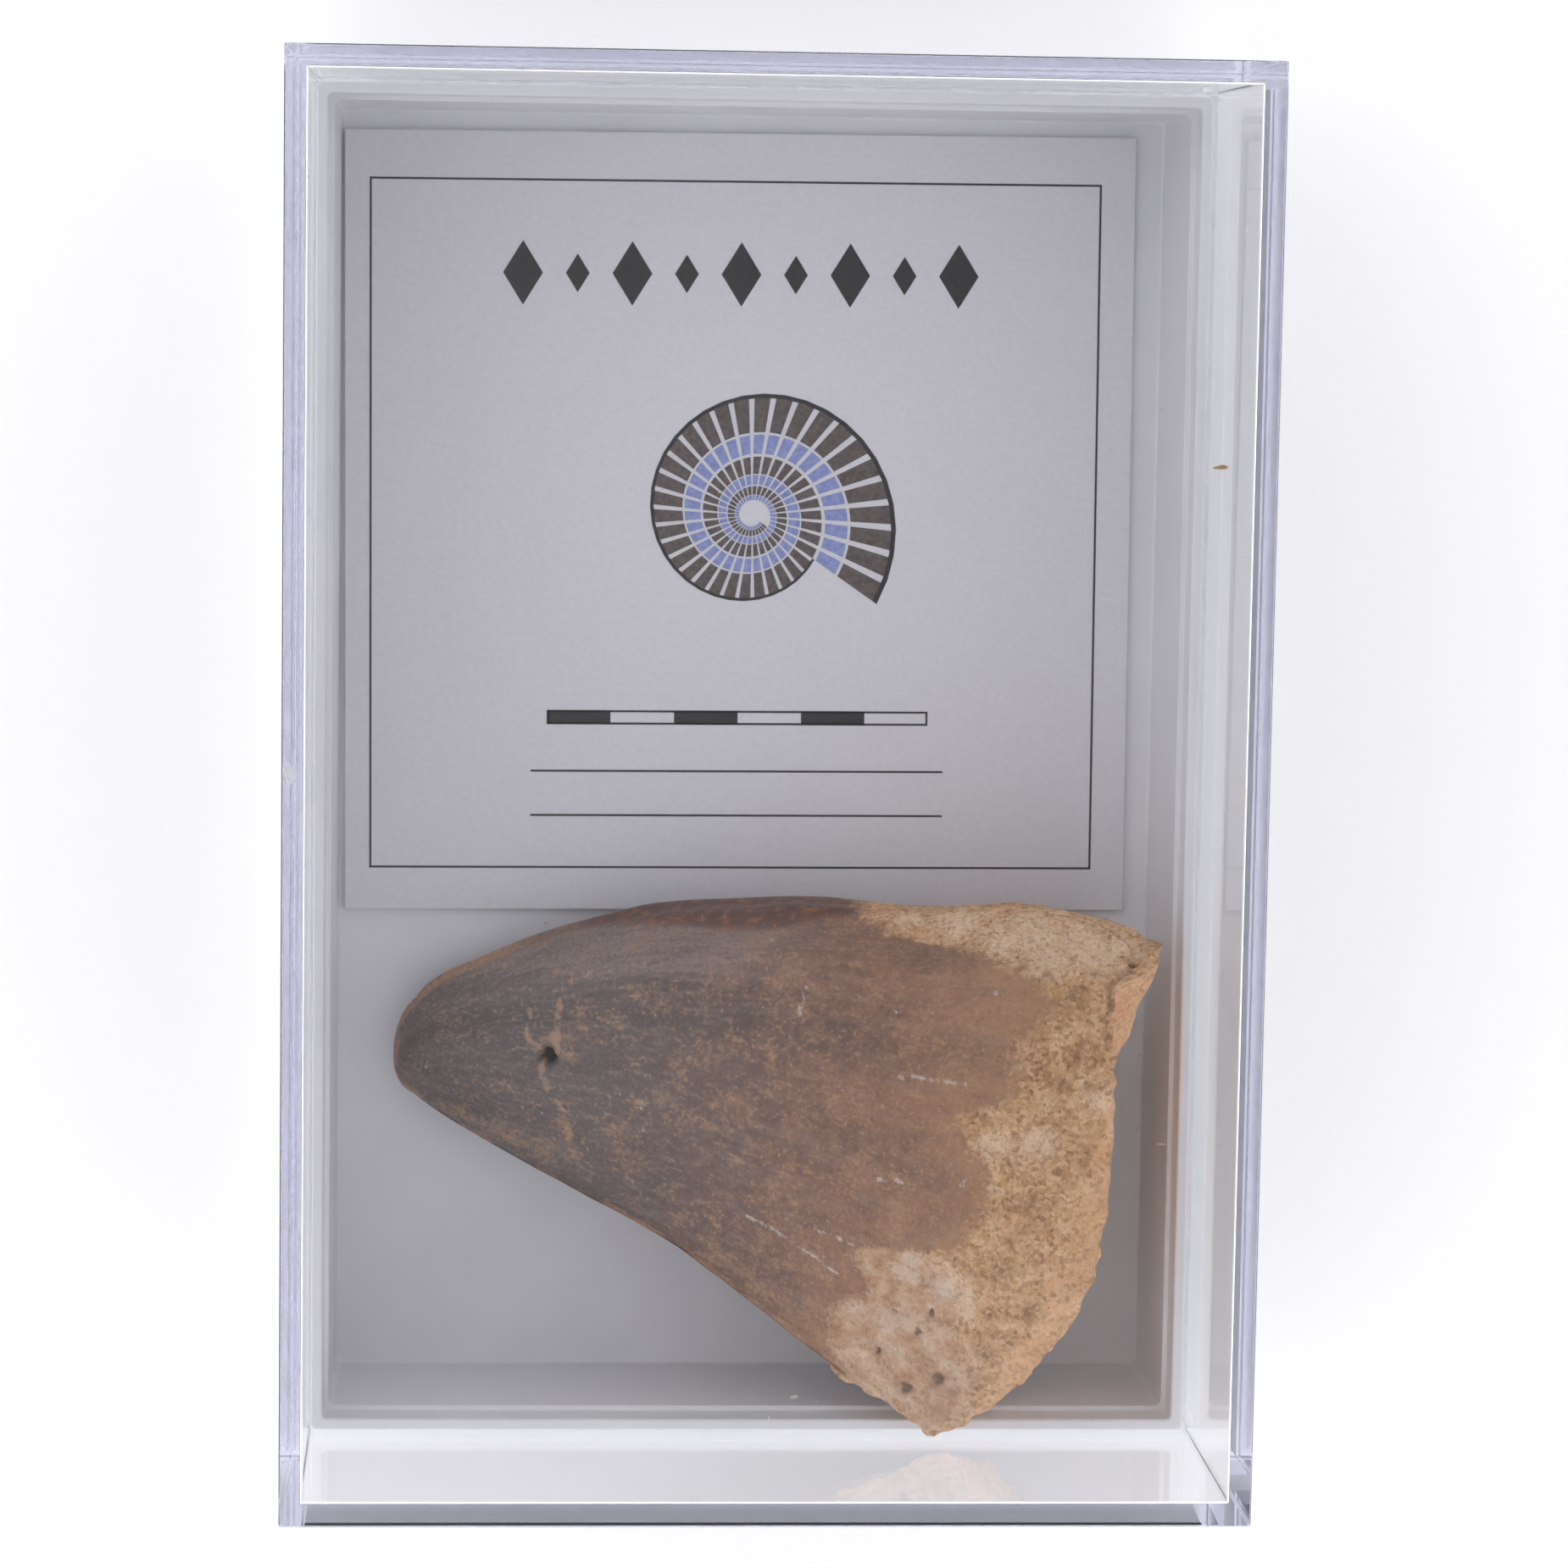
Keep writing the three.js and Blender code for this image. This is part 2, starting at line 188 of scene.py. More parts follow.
# %% Floor
FLOOR_SIDE = 3.0
FLOOR_COLOUR = "#e0e0e0"
floor_mesh = bpy.data.meshes.new("floor")
corner = FLOOR_SIDE / 2
floor_mesh.from_pydata(
    [(-corner, -corner, 0), (corner, -corner, 0), (corner, corner, 0), (-corner, corner, 0)],
    [], [(0, 1, 2, 3)],
)
floor = bpy.data.objects.new("floor", floor_mesh)
bpy.context.scene.collection.objects.link(floor)
paper = new_material("pale_paper_sweep", Base_Color=linear(FLOOR_COLOUR), Roughness=0.9)[0]
floor.data.materials.append(paper)
print("floor", FLOOR_SIDE, "m wide")

# %% [markdown]
# Every moulded piece of the box is a stack of level rings, each a rectangle with rounded
# corners, joined by faces. A cube with a Bevel modifier would come close, but a thin rim, a
# ledge and leaning walls are easier to give as one section. The solids were made the same way.
# Here each rounding has finer steps, so that edges catch a thin line of light as real moulded
# edges do.

# %% Rings and rounded edges
CORNER_STEPS, EDGE_STEPS = 8, 5


def rounded_ring(half_x, half_y, radius, z):
    """A level rectangle with rounded corners, anticlockwise from above, in millimetres."""
    ring = []
    for sign_x, sign_y, start in ((1, -1, -90), (1, 1, 0), (-1, 1, 90), (-1, -1, 180)):
        for step in range(CORNER_STEPS + 1):
            turn = math.radians(start + 90 * step / CORNER_STEPS)
            ring.append((
                sign_x * (half_x - radius) + radius * math.cos(turn),
                sign_y * (half_y - radius) + radius * math.sin(turn),
                z,
            ))
    return ring


def rounded_edge(inset_from, z_from, inset_to, z_to, start_way):
    """Insets and heights on a quarter round between two places on a ring wall's section.
    start_way says whether it leaves the first place 'up' the wall or 'level' across it."""
    places = []
    for step in range(EDGE_STEPS + 1):
        turn = math.pi / 2 * step / EDGE_STEPS
        slow, fast = 1 - math.cos(turn), math.sin(turn)
        across, rise = (slow, fast) if start_way == "up" else (fast, slow)
        places.append((
            inset_from + (inset_to - inset_from) * across,
            z_from + (z_to - z_from) * rise,
        ))
    return places


print(len(rounded_ring(1, 1, 0.1, 0)), "points in each ring")

# %% [markdown]
# A mesh becomes a named piece with one material. Large flat faces keep their own direction by a
# Weighted Normal modifier, and edges of over 30 degrees stay sharp. At the end the piece is put
# on the object's one body, and the solids that it stands for are hidden.

# %% Pieces from points and rings
SHARP_ANGLE = math.radians(30)


def piece_from_mesh(name, points, faces, material):
    """A named piece from points in millimetres, smooth shaded."""
    mesh = bpy.data.meshes.new(name)
    mesh.from_pydata((np.asarray(points) * MM).tolist(), [], faces)
    mesh.validate()
    mesh.shade_smooth()
    mesh.materials.append(material)
    piece = bpy.data.objects.new(name, mesh)
    bpy.context.scene.collection.objects.link(piece)
    return piece


def piece_from_rings(name, rings, material, shift=(0, 0)):
    """A closed piece from rings of equal length, its first and last ring filled in."""
    count = len(rings[0])
    points = [(x + shift[0], y + shift[1], z) for ring in rings for x, y, z in ring]
    faces = [tuple(range(count))[::-1]]
    for level in range(len(rings) - 1):
        for i in range(count):
            j = (i + 1) % count
            low, high = level * count, (level + 1) * count
            faces.append((low + i, low + j, high + j, high + i))
    faces.append(tuple(range((len(rings) - 1) * count, len(rings) * count)))
    piece = piece_from_mesh(name, points, faces, material)
    piece.data.set_sharp_from_angle(angle=SHARP_ANGLE)
    flat_faces = piece.modifiers.new("flat_faces", "WEIGHTED_NORMAL")
    flat_faces.keep_sharp = True
    return piece


def finish_piece(piece, slot, *nodes):
    """The piece rides on the object's one body and stands for these solids."""
    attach(piece, "root")
    if nodes:
        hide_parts(*nodes)
    size = [round(value / MM, 2) for value in piece.dimensions]
    print(piece.name, size, "mm,", len(piece.data.polygons), "faces")


# %% [markdown]
# The tray is white high-impact polystyrene, injection moulded in a polished tool. It gives
# the eye a clean cool white with a soft gloss, and very faint flow marks. Polystyrene's index
# is 1.59. The waves are a noise some 9 mm across with a tiny bump, and the mould's fine
# texture is finer than the render shows, so it is drawn as coarse as 0.25 mm.

# %% White polystyrene
POLYSTYRENE_IOR = 1.59
FLOW_SIZE, TEXTURE_SIZE = 9, 0.25
tray_white, tree, shader = new_material("white_moulded_polystyrene", IOR=POLYSTYRENE_IOR)
place = add(tree, "TexCoord", out="Object")
flow = add(tree, "TexNoise", {
    "Vector": place, "Scale": cells(FLOW_SIZE), "Detail": 2.0,
}, out="Fac")
tone = add(tree, "ValToRGB", {0: flow}, stops=((0.3, "#e7e7eb"), (0.7, "#efeff2")))
tree.links.new(tone, shader.inputs["Base Color"])
grain = add(tree, "TexNoise", {"Vector": place, "Scale": cells(TEXTURE_SIZE)}, out="Fac")
both = add(tree, "Math", {0: grain, 1: flow}, operation="ADD")
bump = add(tree, "Bump", {"Strength": 0.06, "Distance": 0.1 * MM, "Height": both}, out="Normal")
tree.links.new(bump, shader.inputs["Normal"])
gloss = add(tree, "MapRange", {"Value": flow, "To Min": 0.26, "To Max": 0.4})
tree.links.new(gloss, shader.inputs["Roughness"])
print("flow marks", FLOW_SIZE, "mm across")

# %% [markdown]
# The box's sizes. The frame gives the outer ones, and the others are the solids' own values.
# Walls lean by a few hundredths of a millimetre, so that the piece slips off its mould.

# %% Sizes of the box
def box_of(node):
    """A node's low and high corner in the frame, in millimetres."""
    return [np.array(corner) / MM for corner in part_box(node)]


LID_LOW, LID_HIGH = box_of("lid")
TRAY_LOW, TRAY_HIGH = box_of("tray")
BOX_HALF = (LID_HIGH - LID_LOW)[:2] / 2
TRAY_SHIFT = (TRAY_LOW + TRAY_HIGH)[:2] / 2
SKIRT_TOP = LID_LOW[2]
RIM_TOP = TRAY_HIGH[2]
SKIRT_INSET, RESTING_GAP = 0.2, 0.05
BOX_CORNER = 0.15
LID_WALL = 1.0
RIM_GAP, RIM_THICK, RIM_CORNER = 0.3, 0.7, 0.35
LEDGE_DROP, LEDGE_WIDTH = 2.3, 0.3
FLOOR_TOP, FLOOR_ROUNDING, FLOOR_CORNER = 1.6, 0.2, 0.45
RIM_DRAFT, WALL_DRAFT = 0.05, 0.05
FOOT_ROUNDING, RIM_ROUNDING, EDGE_ROUNDING = 0.3, 0.18, 0.1
print("the box is", (BOX_HALF * 2).round(1), "mm outside")

# %% [markdown]
# The tray's section, from the foot outwards and up, over the thin rim, down to the narrow
# ledge, and down the wall to the floor. The lid's mouth rests on the skirt's top.

# %% Tray
def tray_section():
    """The tray's section as (inset from the box's side, corner radius, height)."""
    gap = LID_WALL + RIM_GAP
    inner = gap + RIM_THICK
    wall = inner + LEDGE_WIDTH
    ledge = RIM_TOP - LEDGE_DROP
    foot = rounded_edge(SKIRT_INSET + FOOT_ROUNDING, 0, SKIRT_INSET, FOOT_ROUNDING, "level")
    top = SKIRT_TOP - RESTING_GAP
    skirt = rounded_edge(SKIRT_INSET, top - EDGE_ROUNDING, SKIRT_INSET + EDGE_ROUNDING, top, "up")
    rim_out = rounded_edge(gap, RIM_TOP - RIM_ROUNDING, gap + RIM_ROUNDING, RIM_TOP, "up")
    rim_in = rounded_edge(inner - RIM_ROUNDING, RIM_TOP, inner, RIM_TOP - RIM_ROUNDING, "level")
    ledge_in = rounded_edge(inner, ledge + EDGE_ROUNDING, inner + EDGE_ROUNDING, ledge, "up")
    ledge_out = rounded_edge(wall - EDGE_ROUNDING, ledge, wall, ledge - EDGE_ROUNDING, "level")
    floor_in = rounded_edge(
        wall + WALL_DRAFT, FLOOR_TOP + FLOOR_ROUNDING,
        wall + WALL_DRAFT + FLOOR_ROUNDING, FLOOR_TOP, "up",
    )
    section = [(inset, BOX_CORNER, z) for inset, z in foot + skirt]
    section.append((gap - RIM_DRAFT, RIM_CORNER, top))
    section += [(inset, RIM_CORNER, z) for inset, z in rim_out + rim_in + ledge_in]
    section += [(inset, FLOOR_CORNER, z) for inset, z in ledge_out + floor_in]
    return section


def box_rings(section):
    """Rings round the box for a section of insets, corner radii and heights."""
    return [rounded_ring(*(BOX_HALF - inset), radius, z) for inset, radius, z in section]


tray = piece_from_rings("display_tray", box_rings(tray_section()), tray_white, TRAY_SHIFT)
finish_piece(tray, "white_polystyrene", "tray")

# %% [markdown]
# The lid is crystal polystyrene, clear and polished, with a trace of blue toner that makers
# add to hide its yellow. It only shows along the walls, where the eye looks through 27 mm of
# plastic, so it is an absorption in the volume. The surface is plain transmission with an
# index of 1.59 and hardly any roughness. Only the mouth, which rests on the tray, and a band
# inside it, which slides over the tray's rim, are matt, as the tool left them: they scatter the
# light that the walls pipe down, and so light them up.

# %% Clear polystyrene
lid_clear, tree, shader = new_material(
    "clear_crystal_polystyrene",
    Base_Color=linear("#ffffff"), IOR=POLYSTYRENE_IOR, Transmission_Weight=1.0,
)
TONER_COLOUR = "#d8d8ea"
TONER_DENSITY = 45
POLISHED, MATT = 0.015, 1.0
MATT_MOUTH, MATT_BELOW_RIM = 1.0, 1.8
MATT_MOUTH_TOP = SKIRT_TOP + MATT_MOUTH
MATT_BAND = RIM_TOP - MATT_BELOW_RIM - MATT_MOUTH_TOP
MID_WALL = [(half - LID_WALL / 2) * MM for half in BOX_HALF]
place = add(tree, "TexCoord", out="Object")
height = add(tree, "SeparateXYZ", {0: place}, out="Z")
reach = add(tree, "VectorMath", {0: place}, operation="ABSOLUTE")
inwards = add(tree, "VectorMath", {0: (*MID_WALL, 0.0), 1: reach}, operation="SUBTRACT")
from_mid_wall = [add(tree, "SeparateXYZ", {0: inwards}, out=axis) for axis in "XY"]
nearest = add(tree, "Math", dict(enumerate(from_mid_wall)), operation="MINIMUM")
inner_face = add(tree, "Math", {0: nearest, 1: 0.0}, operation="GREATER_THAN")
matt_top = add(tree, "Math", {
    0: inner_face, 1: MATT_BAND * MM, 2: MATT_MOUTH_TOP * MM,
}, operation="MULTIPLY_ADD")
matt = add(tree, "Math", {0: height, 1: matt_top}, operation="LESS_THAN")
gloss = add(tree, "Math", {0: matt, 1: MATT - POLISHED, 2: POLISHED}, operation="MULTIPLY_ADD")
tree.links.new(gloss, shader.inputs["Roughness"])
toner = add(tree, "VolumeAbsorption", {"Color": linear(TONER_COLOUR), "Density": TONER_DENSITY})
tree.links.new(toner, tree.nodes["Material Output"].inputs["Volume"])
print("matt up to", round(MATT_MOUTH_TOP, 2), "mm outside, and inside for", round(MATT_BAND, 2), "more")

# %% [markdown]
# The lid's wall is 1 mm thick at the mouth and a little thicker at the ceiling, so that it
# slips off its mould. The wall's foot is cut aslant on the inside, which guides the lid over
# the tray's rim.

# %% Lid
LID_EDGE, LID_FILLET, LID_INNER_CORNER = 0.12, 0.2, 0.08
WALL_AT_CEILING = 1.18
LID_FOOT, LEAD_IN, MOUTH_EDGE = 0.25, 0.96, 0.05
BOX_TOP = LID_HIGH[2]
CEILING = BOX_TOP - LID_WALL


def lid_section():
    """The lid's section, from its ceiling's middle down the inside and up the outside."""
    inside = rounded_edge(
        WALL_AT_CEILING + LID_FILLET, CEILING, WALL_AT_CEILING, CEILING - LID_FILLET, "level",
    )
    mouth_in = [(LID_WALL, RIM_TOP), (LID_WALL, SKIRT_TOP + LEAD_IN), (LID_FOOT, SKIRT_TOP)]
    mouth_out = [(MOUTH_EDGE, SKIRT_TOP), (0, SKIRT_TOP + MOUTH_EDGE)]
    outside = rounded_edge(0, BOX_TOP - LID_EDGE, LID_EDGE, BOX_TOP, "up")
    section = [(inset, LID_INNER_CORNER, z) for inset, z in inside + mouth_in]
    section += [(inset, BOX_CORNER, z) for inset, z in mouth_out + outside]
    return section


lid = piece_from_rings("clear_lid", box_rings(lid_section()), lid_clear)
finish_piece(lid, "clear_polystyrene", "lid")

# %% [markdown]
# The card is smooth white board, about 0.6 mm thick, cut with a knife. Board has fibres some
# tenths of a millimetre long that show as a very slight mottle, and its cut edge is a little
# soft, so its mesh has rounded edges.

# %% Card
CARD_LOW, CARD_HIGH = box_of("label_card")
CARD_SIZE = (49.3, 48.7)
CARD_TURN = math.radians(0.3)
CARD_MIDDLE = (CARD_LOW + CARD_HIGH) / 2
INK_LIFT = 0.02
CARD_TOP = CARD_HIGH[2] - 2 * INK_LIFT
CARD_EDGE, CARD_CORNER, CARD_UNDER_INSET = 0.1, 0.15, 0.02
FIBRE_SIZE = 0.35

card_white, tree, shader = new_material("white_printing_board", Roughness=0.78)
place = add(tree, "TexCoord", out="Object")
fibres = add(tree, "TexNoise", {
    "Vector": place, "Scale": cells(FIBRE_SIZE), "Detail": 4.0, "Roughness": 0.65,
}, out="Fac")
mottle = add(tree, "ValToRGB", {0: fibres}, stops=((0.35, "#dddce1"), (0.65, "#e3e2e7")))
tree.links.new(mottle, shader.inputs["Base Color"])
bump = add(tree, "Bump", {
    "Strength": 0.25, "Distance": 0.02 * MM, "Height": fibres,
}, out="Normal")
tree.links.new(bump, shader.inputs["Normal"])


def on_card(x, y, rise=0.0):
    """A place on the card, in millimetres from its middle, as a place in the frame."""
    cos, sin = math.cos(CARD_TURN), math.sin(CARD_TURN)
    return (
        CARD_MIDDLE[0] + x * cos - y * sin,
        CARD_MIDDLE[1] + x * sin + y * cos,
        CARD_TOP + rise,
    )


card_rings = []
card_edge = rounded_edge(0, CARD_TOP - CARD_EDGE, CARD_EDGE, CARD_TOP, "up")
for inset, z in [(CARD_UNDER_INSET, CARD_LOW[2]), *card_edge]:
    ring = rounded_ring(CARD_SIZE[0] / 2 - inset, CARD_SIZE[1] / 2 - inset, CARD_CORNER, 0)
    card_rings.append([on_card(x, y, z - CARD_TOP) for x, y, _ in ring])
card = piece_from_rings("picture_card", card_rings, card_white)
finish_piece(card, "card_stock", "label_card")

# %% [markdown]
# The card's print is made for this lesson: a thin ruled frame, a row of lozenges, a spiral
# shell with ribs, a scale bar and two blank lines to write on. Toner lies on the board as a
# film with a slight gloss, far thinner than a hair. An image could carry it, but flat faces just
# above the board stay sharp however near the eye comes. Each colour is a material of its own.

# %% Inks
def new_film(name, dark, light, roughness=0.5):
    """A thin film, such as toner: its cover varies a little from place to place."""
    film_size = 0.3
    film, tree, shader = new_material(name, Roughness=roughness, IOR=1.5)
    place = add(tree, "TexCoord", out="Object")
    cover = add(tree, "TexNoise", {
        "Vector": place, "Scale": cells(film_size), "Detail": 3.0,
    }, out="Fac")
    tone = add(tree, "ValToRGB", {0: cover}, stops=((0.35, dark), (0.65, light)))
    tree.links.new(tone, shader.inputs["Base Color"])
    return film


black_ink = new_film("black_toner", "#1b1a1c", "#262527")
umber_ink = new_film("umber_toner", "#4d4443", "#6a5d59")
blue_ink = new_film("periwinkle_toner", "#7f8cc4", "#97a3d6")


def print_shapes(name, material, outlines):
    """Flat ink faces from outlines in millimetres from the card's middle."""
    points, faces = [], []
    for outline in outlines:
        faces.append(tuple(range(len(points), len(points) + len(outline))))
        points += [on_card(x, y, INK_LIFT) for x, y in outline]
    finish_piece(piece_from_mesh(name, points, faces, material), "card_stock")


def bar(x0, y0, x1, y1):
    return [(x0, y0), (x1, y0), (x1, y1), (x0, y1)]


print("inks:", black_ink.name, umber_ink.name, blue_ink.name)

# %% [markdown]
# The straight shapes come first, all in black: rules a little over a tenth of a millimetre
# thick, lozenges by turns tall and short, and a scale bar with every second part filled.

# %% Frame, lozenges, scale bar and lines
FRAME = (-23.1, -21.7, 22.5, 21.4)
RULE = 0.13
LOZENGES, LOZENGE_STEP, LOZENGE_Y = 9, 3.4, 15.6
LOZENGE_HEIGHTS, LOZENGE_SLENDER = (2.0, 1.2), 0.62
SCALE_PARTS, SCALE_STEP, SCALE_Y, SCALE_HEIGHT = 6, 4.0, -12.6, 0.9
LINE_HALF, LINE_HEIGHTS = 13.0, (-15.6, -18.4)


def rules_round(x0, y0, x1, y1):
    """Four thin rules round a rectangle."""
    return [
        bar(x0, y0, x1, y0 + RULE), bar(x0, y1 - RULE, x1, y1),
        bar(x0, y0, x0 + RULE, y1), bar(x1 - RULE, y0, x1, y1),
    ]


shapes = rules_round(*FRAME)
for i in range(LOZENGES):
    x = (i - (LOZENGES - 1) / 2) * LOZENGE_STEP
    tall = LOZENGE_HEIGHTS[i % 2]
    wide = tall * LOZENGE_SLENDER
    low, high = LOZENGE_Y - tall, LOZENGE_Y + tall
    shapes.append([(x - wide, LOZENGE_Y), (x, low), (x + wide, LOZENGE_Y), (x, high)])
scale_start = -SCALE_PARTS * SCALE_STEP / 2
shapes += rules_round(scale_start, SCALE_Y, -scale_start, SCALE_Y + SCALE_HEIGHT)
for i in range(0, SCALE_PARTS, 2):
    x = scale_start + i * SCALE_STEP
    shapes.append(bar(x, SCALE_Y, x + SCALE_STEP, SCALE_Y + SCALE_HEIGHT))
shapes += [bar(-LINE_HALF, y, LINE_HALF, y + RULE) for y in LINE_HEIGHTS]
print_shapes("card_rules", black_ink, shapes)

# %% [markdown]
# The shell is a spiral that halves its size with each turn. Its whorl is split across into an
# outer rib, a shorter inner one, and a thin keel outside both.

# %% Spiral shell
SHELL_CENTRE = (0.8, 0.6)
SHELL_RADIUS, SHELL_SHRINK = 9.4, 0.5
SHELL_MOUTH = math.radians(-35)
SHELL_TURNS, RIBS_A_TURN, RIB_SHARE, RIB_STEPS = 3, 34, 0.74, 3
OUTER_RIB, INNER_RIB = (0.98, 0.4), (0.36, 0.04)
SHELL_KEEL, KEEL_PARTS = (1.05, 0.98), 12


def on_shell(turns, share):
    """A place on the whorl, so many turns in from the mouth, and so far from the inner edge."""
    outer = SHELL_RADIUS * SHELL_SHRINK ** turns
    radius = outer * (SHELL_SHRINK + (1 - SHELL_SHRINK) * share)
    turn = SHELL_MOUTH + 2 * math.pi * turns
    return SHELL_CENTRE[0] + radius * math.cos(turn), SHELL_CENTRE[1] + radius * math.sin(turn)


def whorl_stretch(start, end, outer, inner):
    """An outline between two turns of the spiral and two shares of the whorl's width."""
    turns = np.linspace(start, end, RIB_STEPS + 1)
    return [on_shell(t, outer) for t in turns] + [on_shell(t, inner) for t in turns[::-1]]


outer_ribs, inner_ribs = [], []
for i in range(SHELL_TURNS * RIBS_A_TURN):
    start, end = i / RIBS_A_TURN, (i + RIB_SHARE) / RIBS_A_TURN
    outer_ribs.append(whorl_stretch(start, end, *OUTER_RIB))
    inner_ribs.append(whorl_stretch(start, end, *INNER_RIB))
print_shapes("card_shell_ribs", umber_ink, outer_ribs)
print_shapes("card_shell_whorls", blue_ink, inner_ribs)
keel = [
    whorl_stretch(i / KEEL_PARTS, (i + 1) / KEEL_PARTS, *SHELL_KEEL) for i in range(KEEL_PARTS)
]
print_shapes("card_shell_keel", black_ink, keel)

# %% [markdown]
# The tooth's own form. Two side edges run from the worn tip to the broken base, and between
# them every section is a lens whose ridge lies nearer the upper edge. These are the named
# values of the solid, so the fine surface lies on the solid's, apart from the small block at
# the upper corner of the base, which is a little squarer here, and the tip, which is rounder.
# Along runs from 0 at the tip to 1 at the base, across from -1 at the lower edge to 1 at the
# upper one.

# %% Tooth form
UPPER_EDGE = np.array([
    (-21.7, -18.3, 4.5), (-20.3, -15.8, 4.8), (-17.0, -13.7, 5.2), (-12.9, -11.6, 5.8),
    (-6.1, -9.6, 6.6), (-1.0, -9.1, 7.4), (3.7, -8.9, 8.0), (10.5, -9.3, 8.6),
    (16.2, -9.0, 9.0), (21.2, -10.0, 9.2),
])
LOWER_EDGE = np.array([
    (-21.9, -20.4, 4.5), (-20.9, -21.7, 4.8), (-18.2, -23.4, 5.6), (-14.6, -25.3, 6.8),
    (-9.9, -27.6, 8.4), (-5.4, -29.8, 10.0), (-0.3, -33.1, 12.2), (3.8, -36.0, 14.2),
    (8.2, -38.7, 16.4), (11.1, -40.3, 18.0),
])
HEIGHT_ABOVE = (1.6, 2.1, 3.0, 4.1, 5.8, 7.2, 8.6, 10.2, 11.4, 12.0)
DEPTH_BELOW = (1.6, 2.0, 2.7, 3.5, 4.8, 6.0, 7.5, 8.9, 9.8, 10.4)
RIDGE_OFFSET_TOP, RIDGE_OFFSET_UNDER = 0.36, 0.08
EDGE_POINTING = 0.7
BASE_REACH = np.array([
    (-1, 0), (-0.92, 1.4), (-0.76, 3.2), (-0.63, 3.8), (-0.47, 4.7), (-0.33, 4.9),
    (0, 3.5), (0.29, 2.4), (0.47, 1.5), (0.6, 0.7), (0.7, 0.7), (0.76, 2.3), (0.82, 2.9),
    (0.89, 2.8), (0.95, 1.1), (1, 0.3),
])
# The tooth's rough length, which turns a share of it into millimetres.
TOOTH_LENGTH = 50.0
print(len(UPPER_EDGE), "stations along the tooth")

# %% [markdown]
# Values are read between the stations in two ways: along a smooth curve through points in
# space, and in straight stretches, for sizes and for lines on the surface.

# %% Reading between stations
def smooth_curve(points, t):
    """Points on a smooth curve through the given ones, at t from 0 to 1."""
    ends = [2 * points[0] - points[1], *points, 2 * points[-1] - points[-2]]
    padded = np.array(ends)
    place = np.clip(t, 0, 1) * (len(points) - 1)
    i = np.minimum(np.floor(place).astype(int), len(points) - 2)
    w = (place - i)[..., None]
    p0, p1, p2, p3 = padded[i], padded[i + 1], padded[i + 2], padded[i + 3]
    start, end = (p2 - p0) / 2, (p3 - p1) / 2
    cubic = (2 * p1 - 2 * p2 + start + end) * w ** 3
    square = (3 * p2 - 3 * p1 - 2 * start - end) * w ** 2
    return cubic + square + start * w + p1


def at_stations(values, t):
    """A value given at evenly spaced stations, read anywhere between them."""
    return np.interp(np.clip(t, 0, 1) * (len(values) - 1), np.arange(len(values)), values)


def line_at(line, place):
    """Where a line through these points lies at this place."""
    return np.interp(place, line[:, 0], line[:, 1])


def unit(vectors):
    return vectors / np.linalg.norm(vectors, axis=-1, keepdims=True)


# %% [markdown]
# A section follows from the two edges. Round it, an angle of 0 is the upper edge, a quarter
# turn the ridge on top, half a turn the lower edge, and the rest is the underside. The reach
# gives the broken base its outline.

# %% Smooth tooth
def section(t):
    """The middle of the section at t, half its width, and the ways along and up."""
    top, bottom = smooth_curve(UPPER_EDGE, t), smooth_curve(LOWER_EDGE, t)
    middle, half = (top + bottom) / 2, (top - bottom) / 2
    forward = unit(np.stack([half[..., 1], -half[..., 0], 0 * half[..., 0]], -1))
    up = unit(np.cross(forward, unit(half)))
    return middle, half, forward, up


def across_at(angle):
    """How far across the tooth a point of its section is, from -1 to 1."""
    lift = np.sin(angle)
    offset = np.where(lift >= 0, RIDGE_OFFSET_TOP, RIDGE_OFFSET_UNDER)
    return np.cos(angle) + offset * lift ** 2


def smooth_tooth(t, angle):
    """Points of the smooth tooth, in millimetres."""
    middle, half, forward, up = section(t)
    lift, across = np.sin(angle), across_at(angle)
    height = np.abs(lift) ** (1 + EDGE_POINTING * (1 - np.cos(angle)) / 2)
    rise = np.where(lift >= 0, at_stations(HEIGHT_ABOVE, t), -at_stations(DEPTH_BELOW, t)) * height
    reach = line_at(BASE_REACH, across) * t ** 2
    return (
        middle + half * across[..., None] + forward * reach[..., None] + up * rise[..., None]
    )


def outward(t, angle):
    """The way straight out of the smooth tooth."""
    step, turn = 0.004, 0.03
    ahead, behind = np.minimum(t + step, 1), np.maximum(t - step, 0)
    along_way = smooth_tooth(ahead, angle) - smooth_tooth(behind, angle)
    round_way = smooth_tooth(t, angle + turn) - smooth_tooth(t, angle - turn)
    return unit(np.cross(round_way, along_way))


tip, base = section(np.array(0.0))[0], section(np.array(1.0))[0]
print("from tip to base", round(float(np.linalg.norm(base - tip)), 1), "mm")

# %% [markdown]
# Uneven surfaces need noise that is the same each run. This one gives every corner of a grid
# a fixed value and eases between them. The solid uses it too, for its larger lumps.

# %% Noise
HASH_WAY, HASH_STRETCH = (127.1, 311.7, 74.7), 43758.5453


def noise(points):
    """Repeatable noise from -1 to 1 that changes smoothly over one unit."""
    low = np.floor(points)
    ease = points - low
    ease = ease * ease * (3 - 2 * ease)
    total = 0
    for steps in np.ndindex(2, 2, 2):
        x, y, z = [low[..., axis] + step for axis, step in enumerate(steps)]
        wave = np.sin(x * HASH_WAY[0] + y * HASH_WAY[1] + z * HASH_WAY[2]) * HASH_STRETCH
        weight = 1
        for axis, step in enumerate(steps):
            weight = weight * (ease[..., axis] if step else 1 - ease[..., axis])
        total = total + weight * ((wave - np.floor(wave)) * 2 - 1)
    return total


